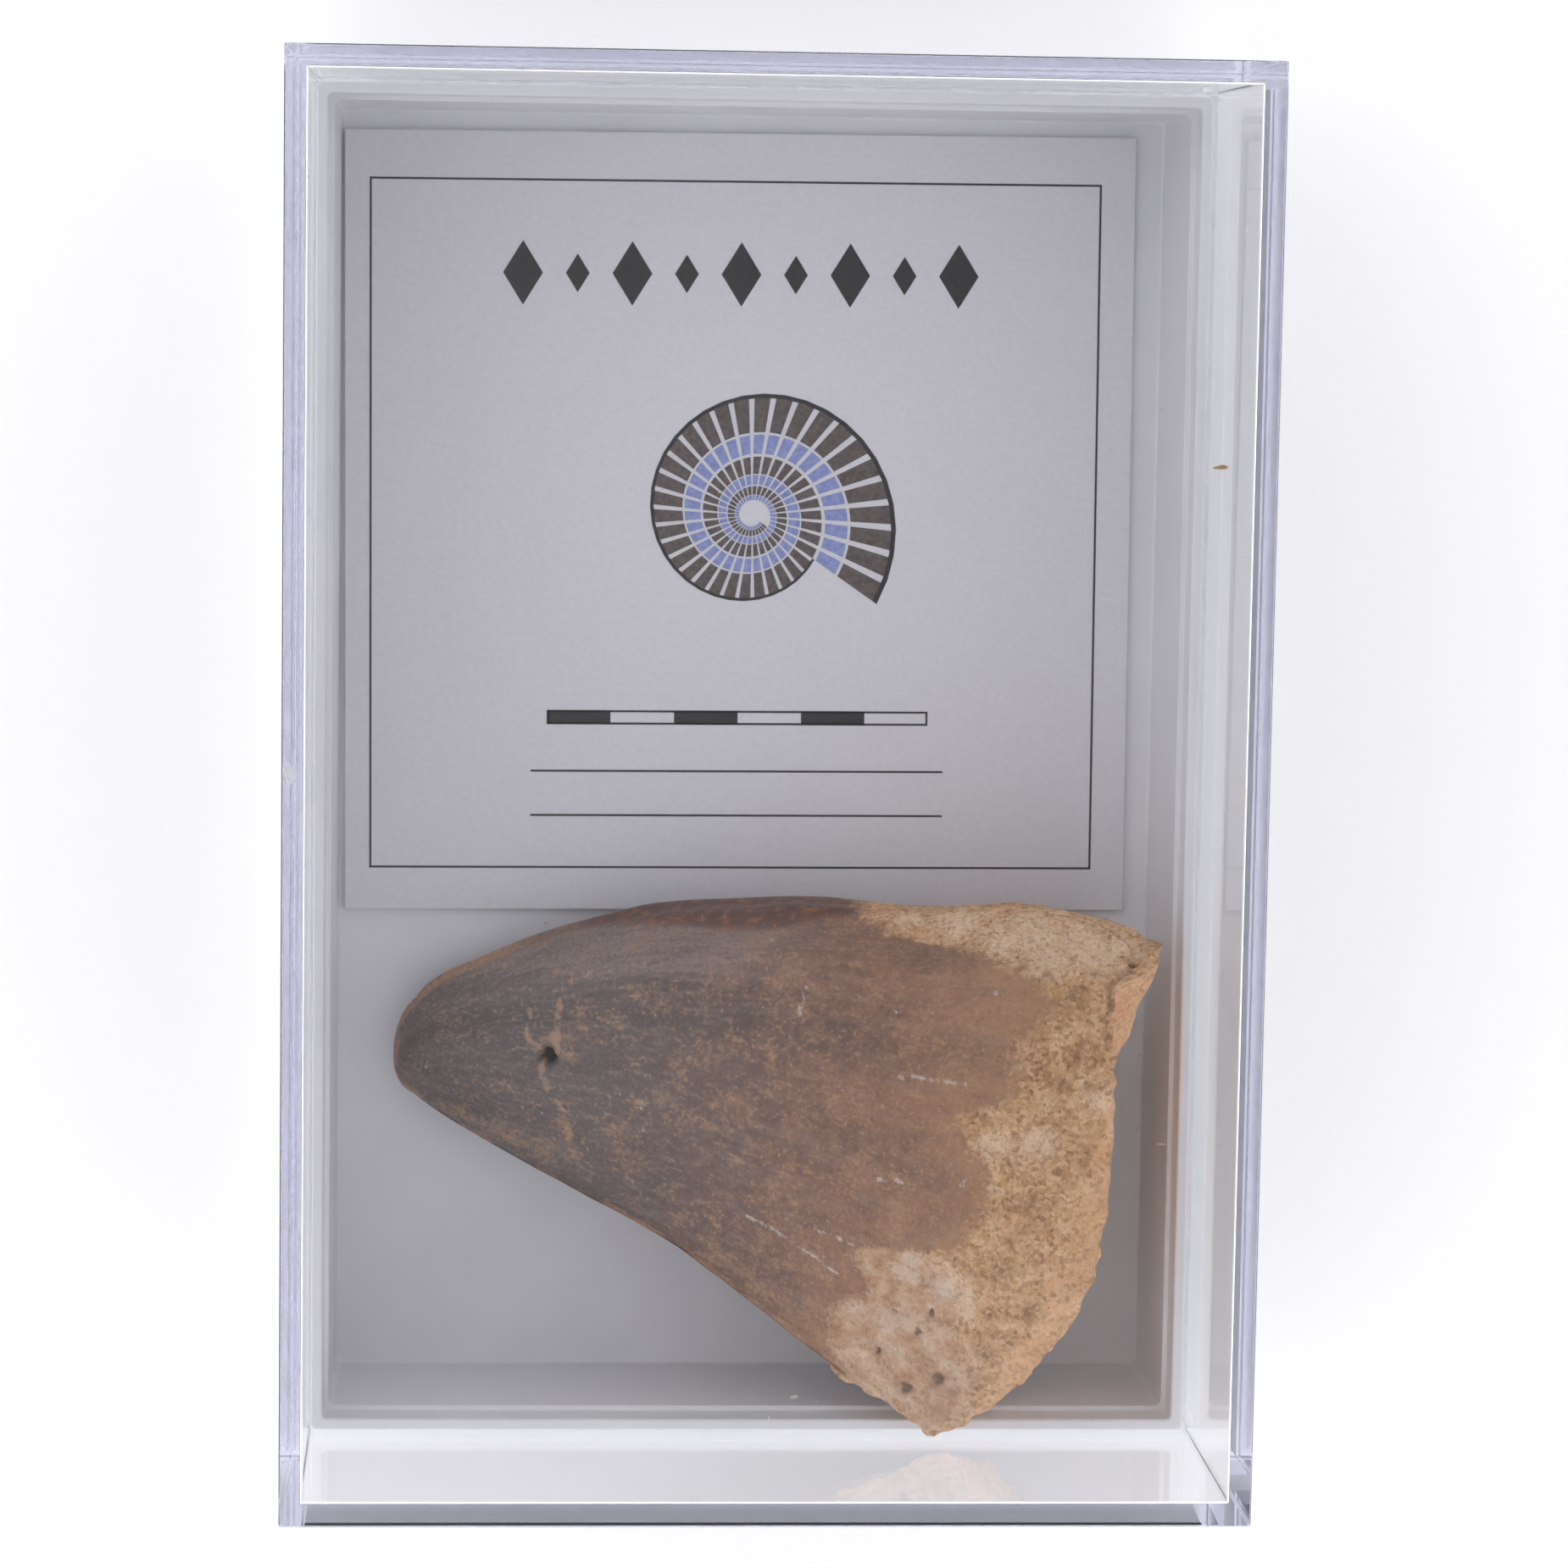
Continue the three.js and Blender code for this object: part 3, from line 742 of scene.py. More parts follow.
def lumpy(points, lumps):
    """Unevenness as a sum of noises. Each is given by the height of its lumps, how far apart
    they are, and a shift, in millimetres."""
    return sum(height * noise((points + shift) / size) for height, size, shift in lumps)


def hump(distance, width):
    """1 where the distance is 0, falling away smoothly over this width."""
    return np.exp(-((distance / width) ** 2))


def smooth_step(value, low, high):
    share = np.clip((value - low) / (high - low), 0, 1)
    return share * share * (3 - 2 * share)


print("noise at one place:", round(float(noise(np.array([0.5, 1.5, 2.5]))), 3))

# %% [markdown]
# Where things lie on the tooth, each place given as along and across. First the lines: the
# ragged one where the glossy enamel ends, the ridge, the edge of the pale root bone at the lower
# corner, and the one where the broken edge starts to slope down.

# %% Lines on the tooth
# The enamel's end: across, along.
ENAMEL_END = np.array([
    (-1, 0.82), (-0.9, 0.77), (-0.8, 0.755), (-0.69, 0.778), (-0.6, 0.74), (-0.55, 0.74),
    (-0.48, 0.78), (-0.4, 0.83), (-0.24, 0.845), (-0.08, 0.845), (0.03, 0.818), (0.1, 0.806),
    (0.19, 0.86), (0.3, 0.875), (0.4, 0.87), (0.52, 0.907), (0.58, 0.92), (0.64, 0.895),
    (0.7, 0.85), (0.76, 0.82), (0.83, 0.775), (0.85, 0.715), (0.93, 0.698), (1, 0.705),
])
ENAMEL_END_UNDER = 0.8
# The ridge between the crown's two upper facets, and the bone's upper edge: along, across.
RIDGE_LINE = np.array([(0, 1.0), (0.11, 1.0), (0.285, 0.6), (0.39, 0.49), (0.6, 0.48), (1, 0.51)])
BONE_EDGE = np.array([
    (0.7, -0.55), (0.76, -0.5), (0.81, -0.44), (0.858, -0.57), (0.887, -0.7), (0.948, -0.86),
    (1, -0.97),
])
# Where the broken edge starts to slope down: across, along.
BEVEL_LINE = np.array([
    (-1, 0.98), (-0.75, 0.965), (-0.55, 0.953), (-0.36, 0.943), (-0.11, 0.953), (0.17, 0.973),
    (0.43, 1.0), (1, 1.05),
])
print(len(ENAMEL_END), "points on the enamel's end")

# %% [markdown]
# Then the hollows: the pit in the crown, the bone's open pores, the groove that sets off the
# small block at the upper corner of the base, cracks that sand has filled, tan streaks, and
# fine pale scratches. Where these are lines, they are runs of places.

# %% Hollows, cracks and scratches
# Open places: along, across, radius along the tooth, radius round it, depth.
PIT = (0.345, -0.02, 0.5, 0.5, 1.1)
PORES = (
    (0.807, -0.72, 0.6, 0.2, 0.3), (0.842, -0.66, 0.2, 0.5, 0.3), (0.84, -0.74, 0.4, 0.35, 0.3),
    (0.817, -0.77, 0.4, 0.15, 0.25), (0.823, -0.88, 0.2, 0.4, 0.3), (0.875, -0.84, 0.3, 0.25, 0.25),
    (0.9, -0.855, 0.5, 0.5, 0.4), (0.88, -0.935, 0.5, 0.45, 0.4), (0.905, -0.94, 0.45, 0.15, 0.25),
    (0.972, 0.81, 0.35, 0.35, 0.5),
)
# Runs of places: along, across.
BLOCK_GROOVE = (((0.962, 0.93), (0.967, 0.86), (0.974, 0.79), (0.985, 0.7), (0.995, 0.6)),)
SAND_CRACKS = (
    ((0.323, 0.5), (0.322, 0.26), (0.332, 0.05), (0.345, -0.02), (0.342, -0.15), (0.358, -0.37),
     (0.378, -0.48), (0.388, -0.7)),
    ((0.372, 0.76), (0.355, 0.41), (0.352, 0.2), (0.357, 0.01)),
)
TAN_STREAKS = (
    ((0.1, -0.97), (0.145, -0.92), (0.227, -0.86), (0.28, -0.81), (0.37, -0.79), (0.41, -0.76)),
    ((0.47, -0.2), (0.5, -0.24), (0.555, -0.26)),
    ((0.62, 0.02), (0.61, 0.22)),
    ((0.59, -0.88), (0.68, -0.93), (0.76, -0.93)),
)
PALE_LINES = (
    ((0.6, -0.69), (0.637, -0.66), (0.685, -0.68), (0.737, -0.71)),
    ((0.687, -0.56), (0.732, -0.55)), ((0.748, 0.23), (0.773, 0.24), (0.817, 0.24)),
    ((0.653, 0.56), (0.645, 0.47), (0.64, 0.4)), ((0.793, 0.12), (0.807, 0.12)),
    ((0.835, 0.11), (0.858, 0.14)), ((0.737, -0.24), (0.76, -0.22)), ((0.818, -0.18), (0.833, -0.11)),
)
print(len(PORES), "pores,", len(SAND_CRACKS), "cracks,", len(PALE_LINES), "scratches")

# %% [markdown]
# Last the stains, which are soft round spots that overlap: tan ones on the crown, pale and dark
# ones on the rock and the bone, and small white specks.

# %% Stains
# Along, across, radius.
TAN_STAINS = (
    (0.145, -0.91, 0.6), (0.353, -0.94, 0.5), (0.272, 0.92, 0.45), (0.607, 0.25, 0.6),
    (0.64, -0.64, 0.6), (0.675, -0.63, 0.8), (0.705, -0.64, 0.9), (0.71, -0.49, 0.5),
    (0.76, -0.2, 0.7), (0.81, 0.34, 0.8), (0.835, 0.22, 0.8), (0.86, 0.32, 0.9),
    (0.855, -0.22, 1.1), (0.65, -0.15, 0.6), (0.52, 0.37, 0.5), (0.77, -0.3, 0.5),
)
PALE_STAINS = (
    (0.743, 0.5, 0.3), (0.78, 0.52, 0.3), (0.915, 0.84, 1.9), (0.86, 0.86, 1.7), (0.95, 0.85, 1.2),
    (0.79, 0.93, 1.2), (0.83, 0.84, 1.4), (0.88, 0.76, 1.3), (0.74, 0.93, 0.7), (0.855, 0.03, 0.8),
    (0.9, 0.05, 0.9), (0.84, -0.54, 1.2), (0.8, -0.5, 0.8), (0.977, 0.26, 0.7), (0.87, -0.58, 0.8),
)
DARK_STAINS = (
    (0.872, 0.68, 0.6), (0.9, 0.65, 0.8), (0.925, 0.58, 1.0), (0.95, 0.62, 0.8), (0.955, 0.73, 0.5),
    (0.9, -0.16, 0.9), (0.89, -0.39, 0.7), (0.93, 0.3, 0.7),
    (0.92, -0.7, 0.9), (0.95, -0.53, 0.8), (0.373, 0.95, 0.35),
)
WHITE_SPECKS = (
    (0.133, -0.28, 0.11), (0.238, -0.16, 0.1), (0.458, -0.29, 0.13), (0.468, -0.43, 0.12),
    (0.35, -0.52, 0.11), (0.43, -0.24, 0.1), (0.322, -0.52, 0.1), (0.585, 0.8, 0.12),
    (0.85, 0.6, 0.17), (0.292, 0.85, 0.13), (0.743, 0.5, 0.13), (0.78, 0.52, 0.12),
)
print(len(TAN_STAINS) + len(PALE_STAINS) + len(DARK_STAINS), "stains,", len(WHITE_SPECKS), "specks")

# %% [markdown]
# A place is found in space by halving: the angle is narrowed down until it lies as far across
# as it should. Distances from the places then say where a line or a stain shows.

# %% Finding places
HALVINGS = 30
VERY_FAR = 1e3
STAIN_FALL = 0.7


def place_on_top(along, across):
    """The point of the smooth tooth's upper face at this place."""
    low, high = 0.0, math.pi
    for _ in range(HALVINGS):
        middle = (low + high) / 2
        if across_at(middle) > across:
            low = middle
        else:
            high = middle
    return smooth_tooth(np.array(along), np.array(low))


def distance_to_runs(points, runs):
    """Each point's distance to the nearest of some runs of straight stretches, in mm."""
    nearest = np.full(points.shape[:-1], VERY_FAR)
    for run in runs:
        corners = [place_on_top(*place) for place in run]
        for start, end in zip(corners, corners[1:]):
            stretch = end - start
            share = np.clip(((points - start) @ stretch) / (stretch @ stretch), 0, 1)
            away = points - (start + share[..., None] * stretch)
            nearest = np.minimum(nearest, np.linalg.norm(away, axis=-1))
    return nearest


def stained(points, stains):
    """How strongly each point is stained, 1 at a stain's middle, fading past its radius."""
    strongest = np.zeros(points.shape[:-1])
    for along, across, radius in stains:
        away = np.linalg.norm(points - place_on_top(along, across), axis=-1) / radius
        strongest = np.maximum(strongest, np.exp(-STAIN_FALL * away ** 2))
    return strongest


print("pit at", place_on_top(*PIT[:2]).round(1), "mm")

# %% [markdown]
# The fine surface could be sculpted by hand, or pushed out by a Displace modifier. Here each
# point is worked out, so that form and colour follow the same masks: they go on the mesh as
# attributes, and the material's colours start exactly where the form changes. It begins as a
# grid of points on the smooth tooth, closer together on the upper face and where rock and bone
# show. The next steps find what each point belongs to and then push it in or out.

# %% Grid on the smooth tooth
CROWN_STEPS, ROCK_STEPS, ROCK_FROM = 150, 126, 0.68
TOP_STEPS, UNDER_STEPS = 190, 110
TINY = 1e-9

angles = np.concatenate([
    np.linspace(0, math.pi, TOP_STEPS, endpoint=False),
    np.linspace(math.pi, 2 * math.pi, UNDER_STEPS, endpoint=False),
])
stations = np.concatenate([
    np.linspace(0, ROCK_FROM, CROWN_STEPS, endpoint=False),
    np.linspace(ROCK_FROM, 1, ROCK_STEPS + 1),
])
T, ANGLE = np.meshgrid(stations, angles, indexing="ij")
smooth = smooth_tooth(T, ANGLE)
across = across_at(ANGLE)
on_top = np.sin(ANGLE) >= -TINY
half_width = np.linalg.norm(section(T)[1], axis=-1)
from_upper, from_lower = (1 - across) * half_width, (1 + across) * half_width


def only_on_top(values, elsewhere=0):
    return np.where(on_top, values, elsewhere)


print("a grid of", len(stations), "by", len(angles), "points")

# %% [markdown]
# What shows where. Each of these is a distance in millimetres past a ragged line: from the
# enamel's end into the rock, over the bone's edge, down the slope of the broken edge, and up
# from the ridge. The shares of rock, bone and crown, from 0 to 1, follow from them.

# %% Enamel, bone and rock
OUTSIDE = -9
ENAMEL_END_LUMPS = ((0.35, 1.1, 0), (0.2, 0.45, 0))
BONE_EDGE_LUMPS = ((0.9, 1.8, 0), (0.5, 0.6, 0))
BEVEL_LUMPS = ((0.3, 1.2, 0),)
INTO_ROCK, INTO_BONE, CROWN_START = (-0.3, 0.4), (-0.4, 0.4), (0.02, 0.2)

end_line = only_on_top(line_at(ENAMEL_END, across), ENAMEL_END_UNDER)
into_rock = (T - end_line) * TOOTH_LENGTH + lumpy(smooth, ENAMEL_END_LUMPS)
into_bone = (line_at(BONE_EDGE, T) - across) * half_width + lumpy(smooth, BONE_EDGE_LUMPS)
into_bone = only_on_top(into_bone, OUTSIDE)
into_bevel = (T - line_at(BEVEL_LINE, across)) * TOOTH_LENGTH + lumpy(smooth, BEVEL_LUMPS)
above_ridge = only_on_top((across - line_at(RIDGE_LINE, T)) * half_width, OUTSIDE)
rocky = smooth_step(into_rock, *INTO_ROCK)
bone = smooth_step(into_bone, *INTO_BONE) * rocky
rock = rocky - bone
crown = (1 - rocky) * smooth_step(T, *CROWN_START)
print(f"rock and bone on {rocky.mean():.0%} of the grid, bone on {bone.mean():.0%}")

# %% [markdown]
# The crown's edges and its very tip are worn to a tan rim, which comes and goes along the lower
# edge. A chestnut band runs along the upper edge. The facet above the ridge is painted paler, a
# painted highlight as if it faced the light, and a painted shade stripe lies just below the ridge.

# %% Rims, band and facets
UPPER_RIM, UPPER_RIM_END, RIM_UNDER = (0.24, 0.04), (0.4, 0.25), 0.5
LOWER_RIM, LOWER_RIM_GROWTH, LOWER_RIM_FULL = 0.2, 0.7, 0.05
RIM_NOISE_SIZE, RIM_NOISE_SHIFT, RIM_GAPS = 1.4, 5, (0.15, 0.6)
TIP_RIM = (1.8, 0.5)
# The chestnut band: along, width.
BAND_WIDTH = np.array([(0.36, 0.0), (0.43, 0.7), (0.5, 1.2), (0.6, 1.4), (0.7, 0.9)])
BAND_EDGE = (-0.5, 0.5)
PALE_REACH, PALE_END = 3, (0.72, 0.4)
DARK_STRIPE, DARK_STRIPE_WIDTH = -1.9, 1.6

edge_noise = 0.5 + 0.5 * noise(smooth / RIM_NOISE_SIZE + RIM_NOISE_SHIFT)
upper_rim = smooth_step(from_upper, *UPPER_RIM) * smooth_step(T, *UPPER_RIM_END)
upper_rim = upper_rim * only_on_top(1, RIM_UNDER)
lower_rim = smooth_step(from_lower, LOWER_RIM + LOWER_RIM_GROWTH * edge_noise, LOWER_RIM_FULL)
lower_rim = lower_rim * smooth_step(edge_noise, *RIM_GAPS)
tip_rim = smooth_step(T * TOOTH_LENGTH, *TIP_RIM)
rim = np.maximum(np.maximum(upper_rim, lower_rim), tip_rim)
chestnut = only_on_top(smooth_step(line_at(BAND_WIDTH, T) - from_upper, *BAND_EDGE))
# painted highlight: the facet above the ridge is made paler, as if it faced the light
painted_highlight_facet = np.clip(above_ridge, 0, PALE_REACH) * smooth_step(T, *PALE_END)
# painted shade: a dark stripe just below the ridge
painted_shade_below_ridge = only_on_top(hump(above_ridge - DARK_STRIPE, DARK_STRIPE_WIDTH))
print(f"rim on {rim.mean():.0%} of the grid, chestnut on {chestnut.mean():.0%}")

# %% [markdown]
# Cracks, scratches, streaks and stains are laid on a wobbling copy of the surface, which makes
# them ragged. Each fades from 1 at its middle to 0 at its edge.

# %% Cracks, scratches and stains
RAGGED, FAR_AWAY = 0.4, 9
WOBBLE_SIZE, FINE_WOBBLE_SIZE, WOBBLE_SHIFTS = 0.9, 0.4, (3, 17, 31)
CRACK_EDGE, SCRATCH_EDGE, STREAK_EDGE = (0.45, 0.0), (0.2, 0.0), (0.9, 0.1)
# Name: its places, and how much it wobbles.
LINES = {
    "crack": (SAND_CRACKS, 0.8), "scratch": (PALE_LINES, 0.25),
    "streak": (TAN_STREAKS, 1.6), "groove": (BLOCK_GROOVE, 0.4),
}
STAINS = {
    "tan_stain": (TAN_STAINS, 1.2), "pale_stain": (PALE_STAINS, 1.2),
    "dark_stain_and_groove_shade": (DARK_STAINS, 1.2), "white_speck": (WHITE_SPECKS, 0.1),
}

wobble = RAGGED * np.stack([
    noise(smooth / WOBBLE_SIZE + shift) + 0.5 * noise(smooth / FINE_WOBBLE_SIZE + shift)
    for shift in WOBBLE_SHIFTS
], -1)
from_line, stain = {}, {}
for name, (runs, amount) in LINES.items():
    from_line[name] = only_on_top(distance_to_runs(smooth + amount * wobble, runs), FAR_AWAY)
for name, (stains, amount) in STAINS.items():
    stain[name] = only_on_top(stained(smooth + amount * wobble, stains))
sand_crack = smooth_step(from_line["crack"], *CRACK_EDGE)
scratch = smooth_step(from_line["scratch"], *SCRATCH_EDGE)
streak = smooth_step(from_line["streak"], *STREAK_EDGE)
print(len(LINES), "kinds of line and", len(STAINS), "kinds of stain")

# %% [markdown]
# The crown's relief is low: wide facets, fine striae that run lengthwise, a keel along the
# upper edge, the ridge, and a shoulder behind the tip, where the upper edge bulges.

# %% Relief of the crown
FACETS, FACET_TURN, FACET_DEPTH = 11, 0.6, 0.13
SHOULDER, SHOULDER_AT, SHOULDER_REACH = 0.45, 0.15, 0.12
KEEL_HEIGHT, KEEL_WIDTH = 0.2, 0.12
RIDGE_HEIGHT, RIDGE_WIDTH = 0.12, 0.9
STRIA_HEIGHT, STRIA_ROUND, STRIA_LONG = 0.03, 14.0, 5.0
CROWN_LUMPS = ((0.06, 2.2, 0),)

wrap = np.stack([T * TOOTH_LENGTH, np.cos(ANGLE), np.sin(ANGLE)], -1)
striae = noise(wrap * (1 / STRIA_LONG, STRIA_ROUND, STRIA_ROUND))
relief = crown * FACET_DEPTH * np.cos(ANGLE * FACETS + FACET_TURN)
relief += SHOULDER * hump(T - SHOULDER_AT, SHOULDER_REACH) * np.maximum(np.cos(ANGLE), 0) ** 2
relief += crown * KEEL_HEIGHT * hump(np.sin(ANGLE / 2), KEEL_WIDTH)
relief += crown * RIDGE_HEIGHT * hump(above_ridge, RIDGE_WIDTH)
relief += crown * (lumpy(smooth, CROWN_LUMPS) + STRIA_HEIGHT * striae)
print("the crown's relief is up to", round(float(relief.max()), 2), "mm high")

# %% [markdown]
# The rock stands a little above the enamel, in lumps and grains that are calmer near the upper
# edge. The bone's fibres run aslant, and the broken edge slopes down.

# %% Relief of rock and bone
ROCK_STEP, ROCK_LUMPS = 0.175, ((0.45, 2.6, 0), (0.25, 1.1, 9.9), (0.16, 0.6, 0), (0.1, 0.3, 0))
EDGE_CALM, CALM_WIDTH = 0.6, (2.5, 0.5)
FIBRE_THICK, FIBRE_LONG, FIBRE_DEEP = 0.9, 3.2, 1.4
FIBRE_HEIGHT, FINE_FIBRE_HEIGHT, FINER = 0.13, 0.08, 2.3
BONE_LUMPS = ((0.06, 0.35, 0),)
BEVEL_DROP, BEVEL_WIDTH = 0.5, 1.4

calm = 1 - EDGE_CALM * smooth_step(from_upper, *CALM_WIDTH)
rock_relief = rock * (ROCK_STEP + calm * lumpy(smooth, ROCK_LUMPS))
relief += rock_relief
x, y, z = np.moveaxis(smooth, -1, 0)
fibre_way = np.stack([(x + y) / FIBRE_THICK, (x - y) / FIBRE_LONG, z / FIBRE_DEEP], -1)
fibres = FIBRE_HEIGHT * noise(fibre_way) + FINE_FIBRE_HEIGHT * noise(fibre_way * FINER)
relief += bone * (fibres + lumpy(smooth, BONE_LUMPS))
relief -= rocky * BEVEL_DROP * smooth_step(into_bevel, 0, BEVEL_WIDTH)
print("the rock stands out by up to", round(float(rock_relief.max()), 2), "mm")

# %% [markdown]
# Hollows: shallow ones along the cracks, the scratches and the groove that sets off the small
# block, and steep ones for the pit and the open pores. The pit, the pores and the groove are
# also painted darker, as painted shade in the hollows.

# %% Hollows
CRACK_DEPTH, CRACK_WIDTH = 0.1, 0.25
GROOVE_DEPTH, GROOVE_WIDTH = 0.35, 0.3
SCRATCH_DEPTH, SCRATCH_WIDTH = 0.04, 0.15
HOLE_RAGGED, HOLE_NOISE_SIZE, HOLE_STEEPNESS = 0.12, 0.35, 2.5
PORE_SHADE = 0.5


def hole_shape(along, where, radius_along, radius_round):
    """How far inside an open place each point is: 1 at its middle, 0 at its rim and beyond."""
    away = smooth - place_on_top(along, where)
    away = away + HOLE_RAGGED * noise(smooth / HOLE_NOISE_SIZE)[..., None]
    ahead = away @ section(np.array(along))[2]
    aside = np.sqrt(np.maximum(np.sum(away * away, -1) - ahead ** 2, 0))
    out = (ahead / radius_along) ** 2 + (aside / radius_round) ** 2
    return only_on_top(np.exp(-out ** HOLE_STEEPNESS))


groove = hump(from_line["groove"], GROOVE_WIDTH)
relief -= GROOVE_DEPTH * groove
relief -= CRACK_DEPTH * hump(from_line["crack"], CRACK_WIDTH)
relief -= SCRATCH_DEPTH * hump(from_line["scratch"], SCRATCH_WIDTH)
# painted shade: the groove is painted as dark as the dark stains
stain["dark_stain_and_groove_shade"] = np.maximum(stain["dark_stain_and_groove_shade"], groove)
# painted shade: the pit and the pores are painted darker towards their middles
painted_hole_shade = np.zeros_like(T)
for holes, dark in (((PIT,), 1), (PORES, PORE_SHADE)):
    for *hole, depth in holes:
        shape = hole_shape(*hole)
        relief -= depth * shape
        painted_hole_shade = np.maximum(painted_hole_shade, dark * shape)
print("relief from", round(float(relief.min()), 2), "to", round(float(relief.max()), 2), "mm")

# %% [markdown]
# Now each point moves straight out by its relief. The points near the break are pushed to and
# fro along the tooth as well, so that its outline is uneven. The rings near the tip are drawn
# in to a dome, as round and blunt as wear has left the real tip.

# %% Surface, break and tip
BREAK_FROM, BREAK_LUMPS = (0.92, 1.0), ((0.28, 2.3, 4.4), (0.24, 0.7, 0))
DOME_FROM, DOME_REACH, DOME_END = 0.1, 1.29, 0.985
DOME_TAPER, DOME_POWER = 0.3, 2.5

surface = smooth + outward(T, ANGLE) * relief[..., None]
broken = smooth_step(T, *BREAK_FROM) * lumpy(smooth, BREAK_LUMPS)
surface += section(T)[2] * broken[..., None]
dome_ring = int(np.searchsorted(stations, DOME_FROM))
dome_middle, _, dome_forward, _ = section(stations[dome_ring])
dome_way = (section(np.array(0.0))[0] - dome_middle) * DOME_REACH
dome_way = (dome_way - dome_forward * np.linalg.norm(dome_way)) / 2
for i in range(dome_ring):
    ahead = DOME_END * (1 - stations[i] / stations[dome_ring])
    scale = (1 - DOME_TAPER * ahead) * math.sqrt(1 - ahead ** DOME_POWER)
    surface[i] = dome_middle + (surface[dome_ring] - dome_middle) * scale + dome_way * ahead
print("the dome takes up", dome_ring, "rings")

# %% [markdown]
# The grid is closed at both ends, the tip by a few last rings of its dome, and the broken base
# by a rough face: rings that shrink towards its middle, pushed to and fro by the same noise.

# %% Closed ends
AROUND = len(angles)
TIP_RINGS, TIP_BULGE = 3, 0.03
BASE_RINGS, BASE_INWARD, BREAK_FULL_AT = 38, 8 / 8.5, 1 / 3
FACE_LUMPS = ((0.75, 3.1, 0), (0.38, 1.4, 0), (0.14, 0.6, 0), (0.07, 0.32, 0))
# On the break face the painted hole shade is off, and the sloping edge's painted highlight is full.
ON_THE_BREAK = {"into_rock": 9, "into_bone": -9, "into_bevel": 9, "painted_hole_shade": 0, "rim": 0}
masks_by_name = {
    "along": T, "painted_highlight_facet": painted_highlight_facet, "painted_shade_below_ridge": painted_shade_below_ridge, "rim": rim,
    "chestnut": chestnut, "into_rock": into_rock, "into_bone": into_bone,
    "into_bevel": into_bevel, "sand_crack": sand_crack, "scratch": scratch, "streak": streak,
    **stain, "painted_hole_shade": painted_hole_shade,
}
names = list(masks_by_name)
fields = np.stack([masks_by_name[name] for name in names], -1)


def shrunk(ring, scale):
    middle = ring.mean(0)
    return (ring - middle) * scale + middle


rings, masks = [], []
tip_way = unit(dome_way)
for r in range(1, TIP_RINGS + 1):
    scale = r / (TIP_RINGS + 1)
    rings.append(shrunk(surface[0], scale) + tip_way * (1 - scale ** 2) * TIP_BULGE)
    masks.append(fields[0])
rings += list(surface)
masks += list(fields)
base_way = section(np.array(1.0))[2]
break_mask = fields[-1].copy()
for name, value in ON_THE_BREAK.items():
    break_mask[:, names.index(name)] = value
for r in range(1, BASE_RINGS + 1):
    inwards = r / BASE_RINGS * BASE_INWARD
    ring = shrunk(surface[-1], 1 - inwards)
    push = min(1, inwards / BREAK_FULL_AT) * lumpy(ring, FACE_LUMPS)
    rings.append(ring + base_way * push[:, None])
    masks.append(break_mask)
print(len(rings), "rings of", AROUND, "points,", len(names), "masks")

# %% [markdown]
# The rings are joined by four-sided faces, and a point at each end closes the last ring with a
# fan of triangles.

# %% Tooth mesh
starts = np.arange(len(rings) - 1)[:, None] * AROUND
here = np.arange(AROUND)[None, :]
ahead = (here + 1) % AROUND
quads = np.stack(
    [starts + here, starts + ahead, starts + AROUND + ahead, starts + AROUND + here], -1
).reshape(-1, 4)
tooth_points = np.concatenate([*rings, rings[0].mean(0)[None], rings[-1].mean(0)[None]])
tooth_masks = np.concatenate([*masks, masks[0].mean(0)[None], masks[-1].mean(0)[None]])
first, last = len(tooth_points) - 2, len(tooth_points) - 1
last_start = (len(rings) - 1) * AROUND
fans = [(first, int(j), int(i)) for i, j in zip(here[0], ahead[0])]
fans += [(last, int(last_start + i), int(last_start + j)) for i, j in zip(here[0], ahead[0])]
print(len(quads) * 2 + len(fans), "triangles in the tooth")

# %% [markdown]
# The fossil's colours are built as they grew: a base tone, then thin layers of stain, sand and
# dust over it. They could be painted on the mesh, but layers of noise stay fine however near
# the eye comes. The patterns come first. Each is a noise with features of a real size: clouds of
# stain, mottles, grains, and striae that run lengthwise on the crown. The finest, sand grains of
# 0.1 to 0.3 mm, are drawn at about their true size, because the camera just shows them.

# %% Patterns of the fossil
fossil, tree, shader = new_material("fossil_enamel_bone_and_rock", IOR=1.55)
place = add(tree, "TexCoord", out="Object")
field = {name: add(tree, "Attribute", out="Fac", attribute_name=name) for name in names}
lengthwise = add(tree, "Attribute", out="Vector", attribute_name="lengthwise")
# Name: where it is laid, size in millimetres, detail, roughness.
NOISES = {
    "cloud": (place, 2.6, 3.0, 0.55), "blotch": (place, 1.3, 4.0, 0.6),
    "mottle": (place, 0.7, 4.0, 0.65), "dust": (place, 0.3, 3.0, 0.7),
    "grit": (place, 0.17, 3.0, 0.7), "speck": (place, 0.24, 0.5, 0.5),
    "band": (lengthwise, 2.2, 3.0, 0.6), "stria": (lengthwise, 0.8, 4.0, 0.65),
    "hair": (lengthwise, 0.3, 2.0, 0.6),
}
for name, (where, size, detail, rough) in NOISES.items():
    field[name] = add(tree, "TexNoise", {
        "Vector": where, "Scale": cells(size), "Detail": detail, "Roughness": rough,
    }, out="Fac")
GRAIN_SIZE = 0.26
grains = add(tree, "TexVoronoi", {"Vector": place, "Scale": cells(GRAIN_SIZE)}, out="Color")
field["grain"] = add(tree, "SeparateXYZ", {0: grains}, out="X")
print(len(names), "masks and", len(field) - len(names), "patterns")

# %% [markdown]
# A layer covers what is below it where a mask or a pattern passes from low to high. A second
# pattern can be added first, which makes the layer's edge ragged. Each row below names the
# two, and gives how much of the second is added, low, high, how strongly the layer covers, and
# its colour.

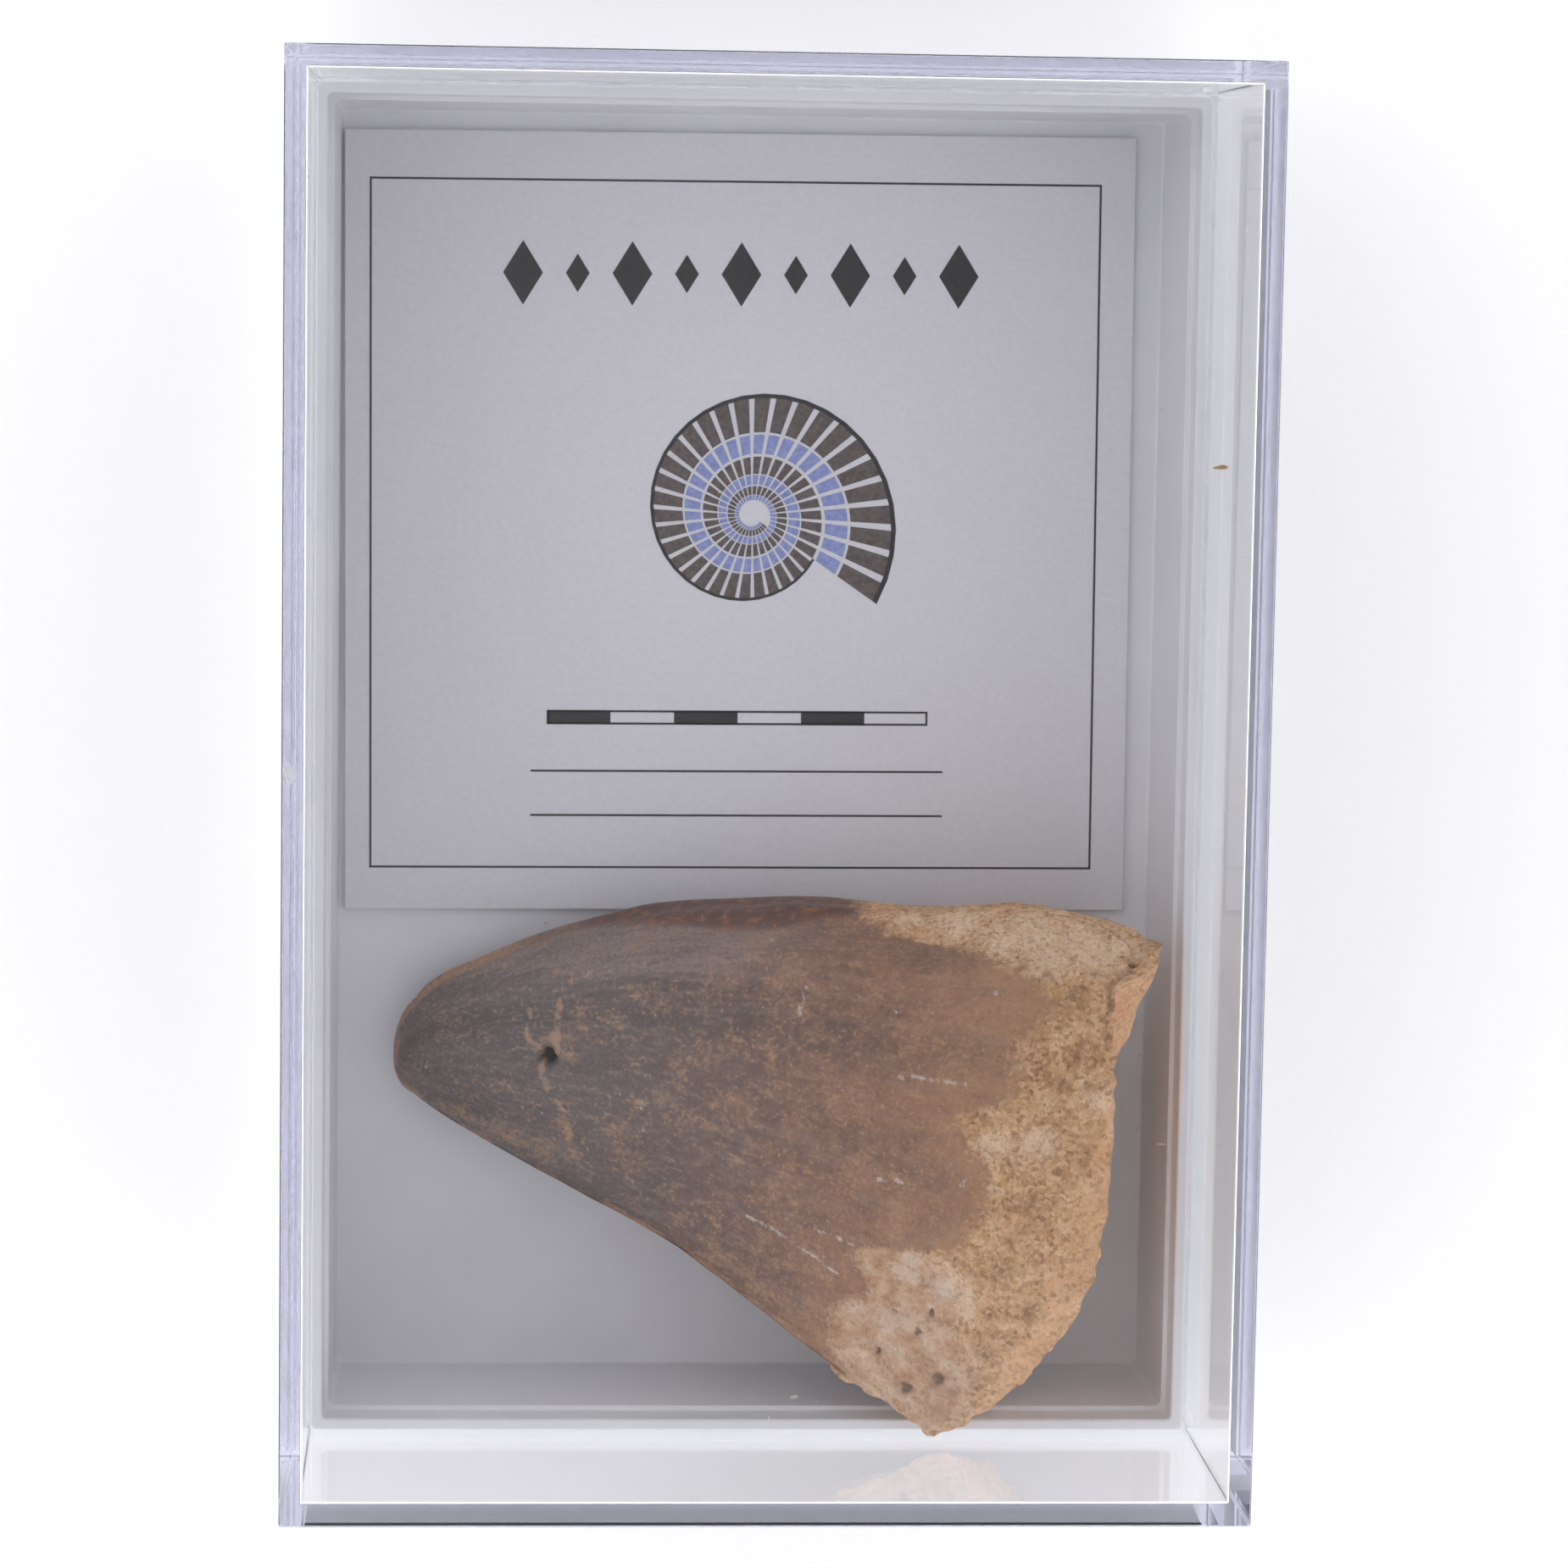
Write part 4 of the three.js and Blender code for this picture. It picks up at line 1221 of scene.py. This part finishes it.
# %% Layers
def covering(name, ragged_by, amount, low, high, strength):
    """How much a layer covers, from 0 to its strength."""
    value = field[name]
    if ragged_by:
        value = add(tree, "Math", {
            0: field[ragged_by], 1: amount, 2: value,
        }, operation="MULTIPLY_ADD")
    return add(tree, "MapRange", {
        "Value": value, "From Min": low, "From Max": high, "To Max": strength,
    }, interpolation_type="SMOOTHSTEP")


def layered(below, rows):
    """The colour below with the rows' layers laid over it in turn."""
    for *where, colour in rows:
        top = linear(colour) if isinstance(colour, str) else colour
        below = add(tree, "Mix", {
            0: covering(*where), MIX_A: below, MIX_B: top,
        }, out=MIX_RESULT, data_type="RGBA")
    return below


# %% [markdown]
# Enamel keeps a dull polish and is stained by the phosphate it lay in: purplish dark grey at
# the tip, warmer and browner towards the base. Above the ridge a painted highlight makes it greyer
# and paler, and just below it a painted shade makes it darkest. Fine striae run along it, and
# ochre dust lies over it as a thin mist and as flecks.
# All of these are soft, so their ranges from low to high are wide.

# %% Enamel
ENAMEL_TONES = (
    (0.0, "#80736f"), (0.2, "#736967"), (0.42, "#625450"), (0.6, "#6f5247"), (0.74, "#8b604a"),
    (0.86, "#b48565"),
)
TONE_DRIFT = 0.2
drifted = add(tree, "Math", {
    0: field["cloud"], 1: TONE_DRIFT, 2: field["along"],
}, operation="MULTIPLY_ADD")
field["drifted"] = add(tree, "Math", {0: drifted, 1: TONE_DRIFT / 2}, operation="SUBTRACT")
field["dusty"] = add(tree, "Math", {0: field["cloud"], 1: field["dust"]}, operation="MULTIPLY")
enamel = layered(add(tree, "ValToRGB", {0: field["drifted"]}, stops=ENAMEL_TONES), (
    # painted highlight on the facet above the ridge, and painted shade just below the ridge
    ("painted_highlight_facet", "cloud", 1.0, 0.4, 2.2, 0.45, "#b49d92"),
    ("painted_shade_below_ridge", "band", 2.0, 1.1, 2.3, 0.55, "#433836"),
    ("band", None, 0, 0.6, 0.3, 0.45, "#4a4040"),
    ("stria", None, 0, 0.45, 0.75, 0.25, "#96877e"),
    ("hair", None, 0, 0.5, 0.76, 0.25, "#9c8a80"),
    ("hair", None, 0, 0.5, 0.28, 0.25, "#3f3433"),
    ("dust", None, 0, 0.55, 0.8, 0.35, "#a08f84"),
    ("dust", None, 0, 0.46, 0.25, 0.35, "#3f3433"),
    ("dust", "cloud", 1.0, 0.96, 1.4, 0.5, "#a37d60"),
    ("hair", "blotch", 1.0, 1.08, 1.4, 0.55, "#b48d6a"),
    ("dusty", "mottle", 0.5, 0.52, 0.8, 0.45, "#b28f6c"),
    ("speck", "mottle", 0.6, 0.94, 1.2, 0.4, "#bda893"),
    ("drifted", "mottle", 1.0, 0.95, 1.5, 0.4, "#b2835c"),
    ("drifted", "dust", 2.0, 1.7, 2.3, 0.5, "#b98c5e"),
    ("drifted", "speck", 2.0, 1.5, 1.0, 0.3, "#4f3a30"),
    ("into_rock", "mottle", 6.0, 0.6, 4.0, 0.35, "#b2835c"),
    ("speck", "blotch", 0.5, 0.46, 0.3, 0.3, "#3a302f"),
))
KEEL_TONES = ((0.34, "#3a1d12"), (0.5, "#5a2f1c"), (0.62, "#804a29"), (0.76, "#b87c3e"))
keel_tone = add(tree, "ValToRGB", {0: field["mottle"]}, stops=KEEL_TONES)
enamel = layered(enamel, (
    ("chestnut", "mottle", 1.2, 0.7, 1.6, 0.9, keel_tone),
    ("tan_stain", "dust", 3.0, 1.8, 3.2, 0.6, "#ab835c"),
    ("streak", "dust", 3.0, 1.7, 3.1, 0.6, "#ab8660"),
    ("rim", "dust", 2.0, 1.3, 2.4, 0.8, "#bf906e"),
    ("sand_crack", "dust", 1.2, 0.8, 1.6, 0.85, "#ab8a6c"),
    ("scratch", "dust", 2.0, 1.2, 2.1, 0.8, "#d2c6bb"),
    ("white_speck", None, 0, 0.3, 0.9, 0.65, "#cfcbcb"),
))
print(len(tree.nodes), "nodes up to the enamel")

# %% [markdown]
# The rock is a cemented phosphate sand, ochre and cream with many brown grains, paler in
# patches. The root's bone is tan with whitish fibres and open pores, whose darkness is painted
# shade, laid on at the end. The broken edge, which slopes down, is painted a lighter orange
# cream, a painted highlight where it faces the light.

# %% Rock and bone
SAND_TONES = ((0.25, "#a87a4f"), (0.42, "#cc9b6d"), (0.6, "#e3b88f"), (0.78, "#f2d3ae"))
BONE_TONES = ((0.32, "#b28660"), (0.45, "#c69a77"), (0.57, "#d3ac8c"), (0.7, "#dfc4a8"))
BLOTCH_SHARE, GRAIN_SHARE, SAND_SHIFT = 0.75, 0.3, -0.03
grainy = add(tree, "Math", {
    0: field["blotch"], 1: BLOTCH_SHARE, 2: SAND_SHIFT,
}, operation="MULTIPLY_ADD")
grainy = add(tree, "Math", {
    0: field["grain"], 1: GRAIN_SHARE, 2: grainy,
}, operation="MULTIPLY_ADD")
sand = layered(add(tree, "ValToRGB", {0: grainy}, stops=SAND_TONES), (
    # dark stains, and painted shade along the groove
    ("dark_stain_and_groove_shade", "dust", 2.0, 1.2, 2.2, 0.65, "#8d6943"),
    ("pale_stain", "dust", 2.0, 1.0, 2.0, 0.75, "#f7dabb"),
    # painted highlight: the sloping broken edge is painted a lighter orange cream, as if it faced the
    # light
    ("into_bevel", "mottle", 1.2, 0.3, 1.6, 0.55, "#f4c296"),
    ("mottle", "cloud", 0.5, 0.7, 1.0, 0.5, "#cc9a5c"),
    ("mottle", None, 0, 0.46, 0.3, 0.45, "#956e4a"),
    ("grain", None, 0, 0.25, 0.0, 0.25, "#7d5c3c"),
    ("grit", None, 0, 0.48, 0.25, 0.5, "#694c32"),
    ("grit", None, 0, 0.52, 0.78, 0.25, "#fbeed8"),
))
bone_tone = layered(add(tree, "ValToRGB", {0: field["blotch"]}, stops=BONE_TONES), (
    ("stria", None, 0, 0.45, 0.7, 0.4, "#ecdfcf"),
    ("pale_stain", "dust", 2.0, 1.3, 2.5, 0.5, "#ebdccf"),
    # dark stains, and painted shade along the groove
    ("dark_stain_and_groove_shade", "dust", 2.0, 1.2, 2.2, 0.6, "#8a6a52"),
    ("grain", None, 0, 0.4, 0.0, 0.3, "#94694a"),
    ("dust", None, 0, 0.46, 0.25, 0.35, "#8d6448"),
    ("grit", None, 0, 0.53, 0.78, 0.45, "#f1e2d0"),
))
ENAMEL_TO_ROCK = ("into_rock", "dust", 2.4, 0.5, 2.0, 1.0)
inside_rock = covering(*ENAMEL_TO_ROCK)
inside_bone = covering("into_bone", "mottle", 4.0, 1.2, 3.0, 0.9)
inside_bone = add(tree, "Math", {0: inside_bone, 1: inside_rock}, operation="MULTIPLY")
colour = layered(enamel, ((*ENAMEL_TO_ROCK, sand),))
colour = add(tree, "Mix", {
    0: inside_bone, MIX_A: colour, MIX_B: bone_tone,
}, out=MIX_RESULT, data_type="RGBA")
# painted shade in the pit and the pores
colour = layered(colour, (("painted_hole_shade", "dust", 0.3, 0.35, 0.8, 0.95, "#33231e"),))
tree.links.new(colour, shader.inputs["Base Color"])
print(len(tree.nodes), "nodes with rock and bone")

# %% [markdown]
# Gloss and fine relief go with the same masks: the enamel is a little smoother than the sand,
# and its striae stand hundredths of a millimetre high, while grains stand out by a tenth.

# %% Gloss and fine relief
ENAMEL_ROUGHNESS, ROCK_ROUGHNESS = 0.5, 0.9
ENAMEL_GRAIN_HEIGHT, ROCK_GRAIN_HEIGHT = 0.02, 0.1
dullness = add(tree, "MapRange", {
    "Value": inside_rock, "To Min": ENAMEL_ROUGHNESS, "To Max": ROCK_ROUGHNESS,
})
tree.links.new(dullness, shader.inputs["Roughness"])
enamel_height = add(tree, "Math", {0: field["hair"], 1: field["dust"]}, operation="ADD")
enamel_height = add(tree, "Math", {
    0: enamel_height, 1: ENAMEL_GRAIN_HEIGHT,
}, operation="MULTIPLY")
rock_height = add(tree, "Math", {0: field["grit"], 1: field["dust"]}, operation="ADD")
rock_height = add(tree, "Math", {0: rock_height, 1: ROCK_GRAIN_HEIGHT}, operation="MULTIPLY")
height = add(tree, "Mix", {0: inside_rock, 2: enamel_height, 3: rock_height})
bump = add(tree, "Bump", {"Strength": 0.8, "Distance": MM, "Height": height}, out="Normal")
tree.links.new(bump, shader.inputs["Normal"])
print(len(tree.nodes), "nodes in all")

# %% [markdown]
# The tooth is one piece, as it grew. Besides the masks, its mesh carries a place for the
# lengthwise patterns: it is wound round a cylinder, and drawn out along the tooth.

# %% Tooth piece
tooth = piece_from_mesh("fossil_tooth", tooth_points, [*map(tuple, quads.tolist()), *fans], fossil)
for column, name in enumerate(names):
    layer = tooth.data.attributes.new(name, "FLOAT", "POINT")
    layer.data.foreach_set("value", tooth_masks[:, column].astype(np.float32))
ROUND_RADIUS, STRETCH = 9.0, 4
ring_count = len(rings)
wrap_angle = np.concatenate([np.tile(angles, ring_count), [0.0, 0.0]])
lengthwise_way = np.stack([
    tooth_masks[:, 0] * TOOTH_LENGTH / STRETCH, np.cos(wrap_angle) * ROUND_RADIUS,
    np.sin(wrap_angle) * ROUND_RADIUS,
], -1) * MM
layer = tooth.data.attributes.new("lengthwise", "FLOAT_VECTOR", "POINT")
layer.data.foreach_set("vector", lengthwise_way.astype(np.float32).ravel())
finish_piece(tooth, "fossil_tooth", "tooth")

# %% [markdown]
# Dust, crumbs and marks show that the box has been handled. Grains and lint lie on the tray, the
# card and the walls, a brown smudge has dried under the ceiling with two fine scratches near it,
# and a frosted gate mark, where the plastic was let into the mould, shows at the left wall's top.
# Each is a flat ragged flake some tenths of a millimetre across.

# %% Dust and marks
FLAKE_CORNERS, FLAKE_RAGGED, CORNER_SHIFT, DULL = 9, 0.25, 1.7, 0.9
# Name, slot, dark and light tone, and its flakes: place, length, width and turn in degrees.
MARKS = (
    ("lint_and_dust", "fossil_tooth", "#cfcac4", "#e2deda", (
        (24.11, 21.92, 12.75, 0.16, 0.16, 0), (25.2, -19.5, 1.7, 0.3, 0.1, 20),
        (25.2, -24.2, 1.7, 0.24, 0.1, 60), (26.9, 1.1, 20.0, 0.12, 0.12, 0),
        (-2.2, 16.15, 2.22, 0.14, 0.12, 30), (-23.43, -2.21, 2.22, 0.16, 0.1, 80),
        (1.03, -39.9, 14.98, 0.26, 0.12, 70), (4.1, -39.4, 12.75, 0.12, 0.12, 0),
        (-12.69, -11.23, 1.7, 0.42, 0.18, 0),
    )),
    ("cream_crumbs", "fossil_tooth", "#ddcdb2", "#ece0cb", (
        (2.7, -39.1, 12.75, 0.5, 0.26, 10), (25.15, -23.2, 12.75, 0.75, 0.13, -6),
        (20.2, -40.1, 14.98, 0.2, 0.15, 0),
    )),
    ("brown_smudge", "clear_polystyrene", "#b08a62", "#c9ab88", (
        (24.8, 19.17, 31.97, 0.85, 0.26, 6),
    )),
    ("frosted_marks", "clear_polystyrene", "#e2e2ea", "#f2f2f6", (
        (-27.5, 1.35, 32.97, 0.75, 1.3, 0), (25.95, 32.59, 31.97, 0.5, 0.05, 75),
        (20.45, 31.08, 31.97, 0.35, 0.06, 20),
    )),
)
for name, slot, dark, light, flakes in MARKS:
    points, faces = [], []
    for x, y, z, length, width, turn in flakes:
        cos, sin = math.cos(math.radians(turn)), math.sin(math.radians(turn))
        faces.append(tuple(range(len(points), len(points) + FLAKE_CORNERS)))
        for corner in range(FLAKE_CORNERS):
            way = 2 * math.pi * corner / FLAKE_CORNERS
            here = np.array([x + corner * CORNER_SHIFT, y, z])
            ragged = 1 + FLAKE_RAGGED * float(noise(here))
            ahead, aside = length / 2 * math.cos(way) * ragged, width / 2 * math.sin(way) * ragged
            points.append((x + ahead * cos - aside * sin, y + ahead * sin + aside * cos, z))
    finish_piece(piece_from_mesh(name, points, faces, new_film(name, dark, light, DULL)), slot)
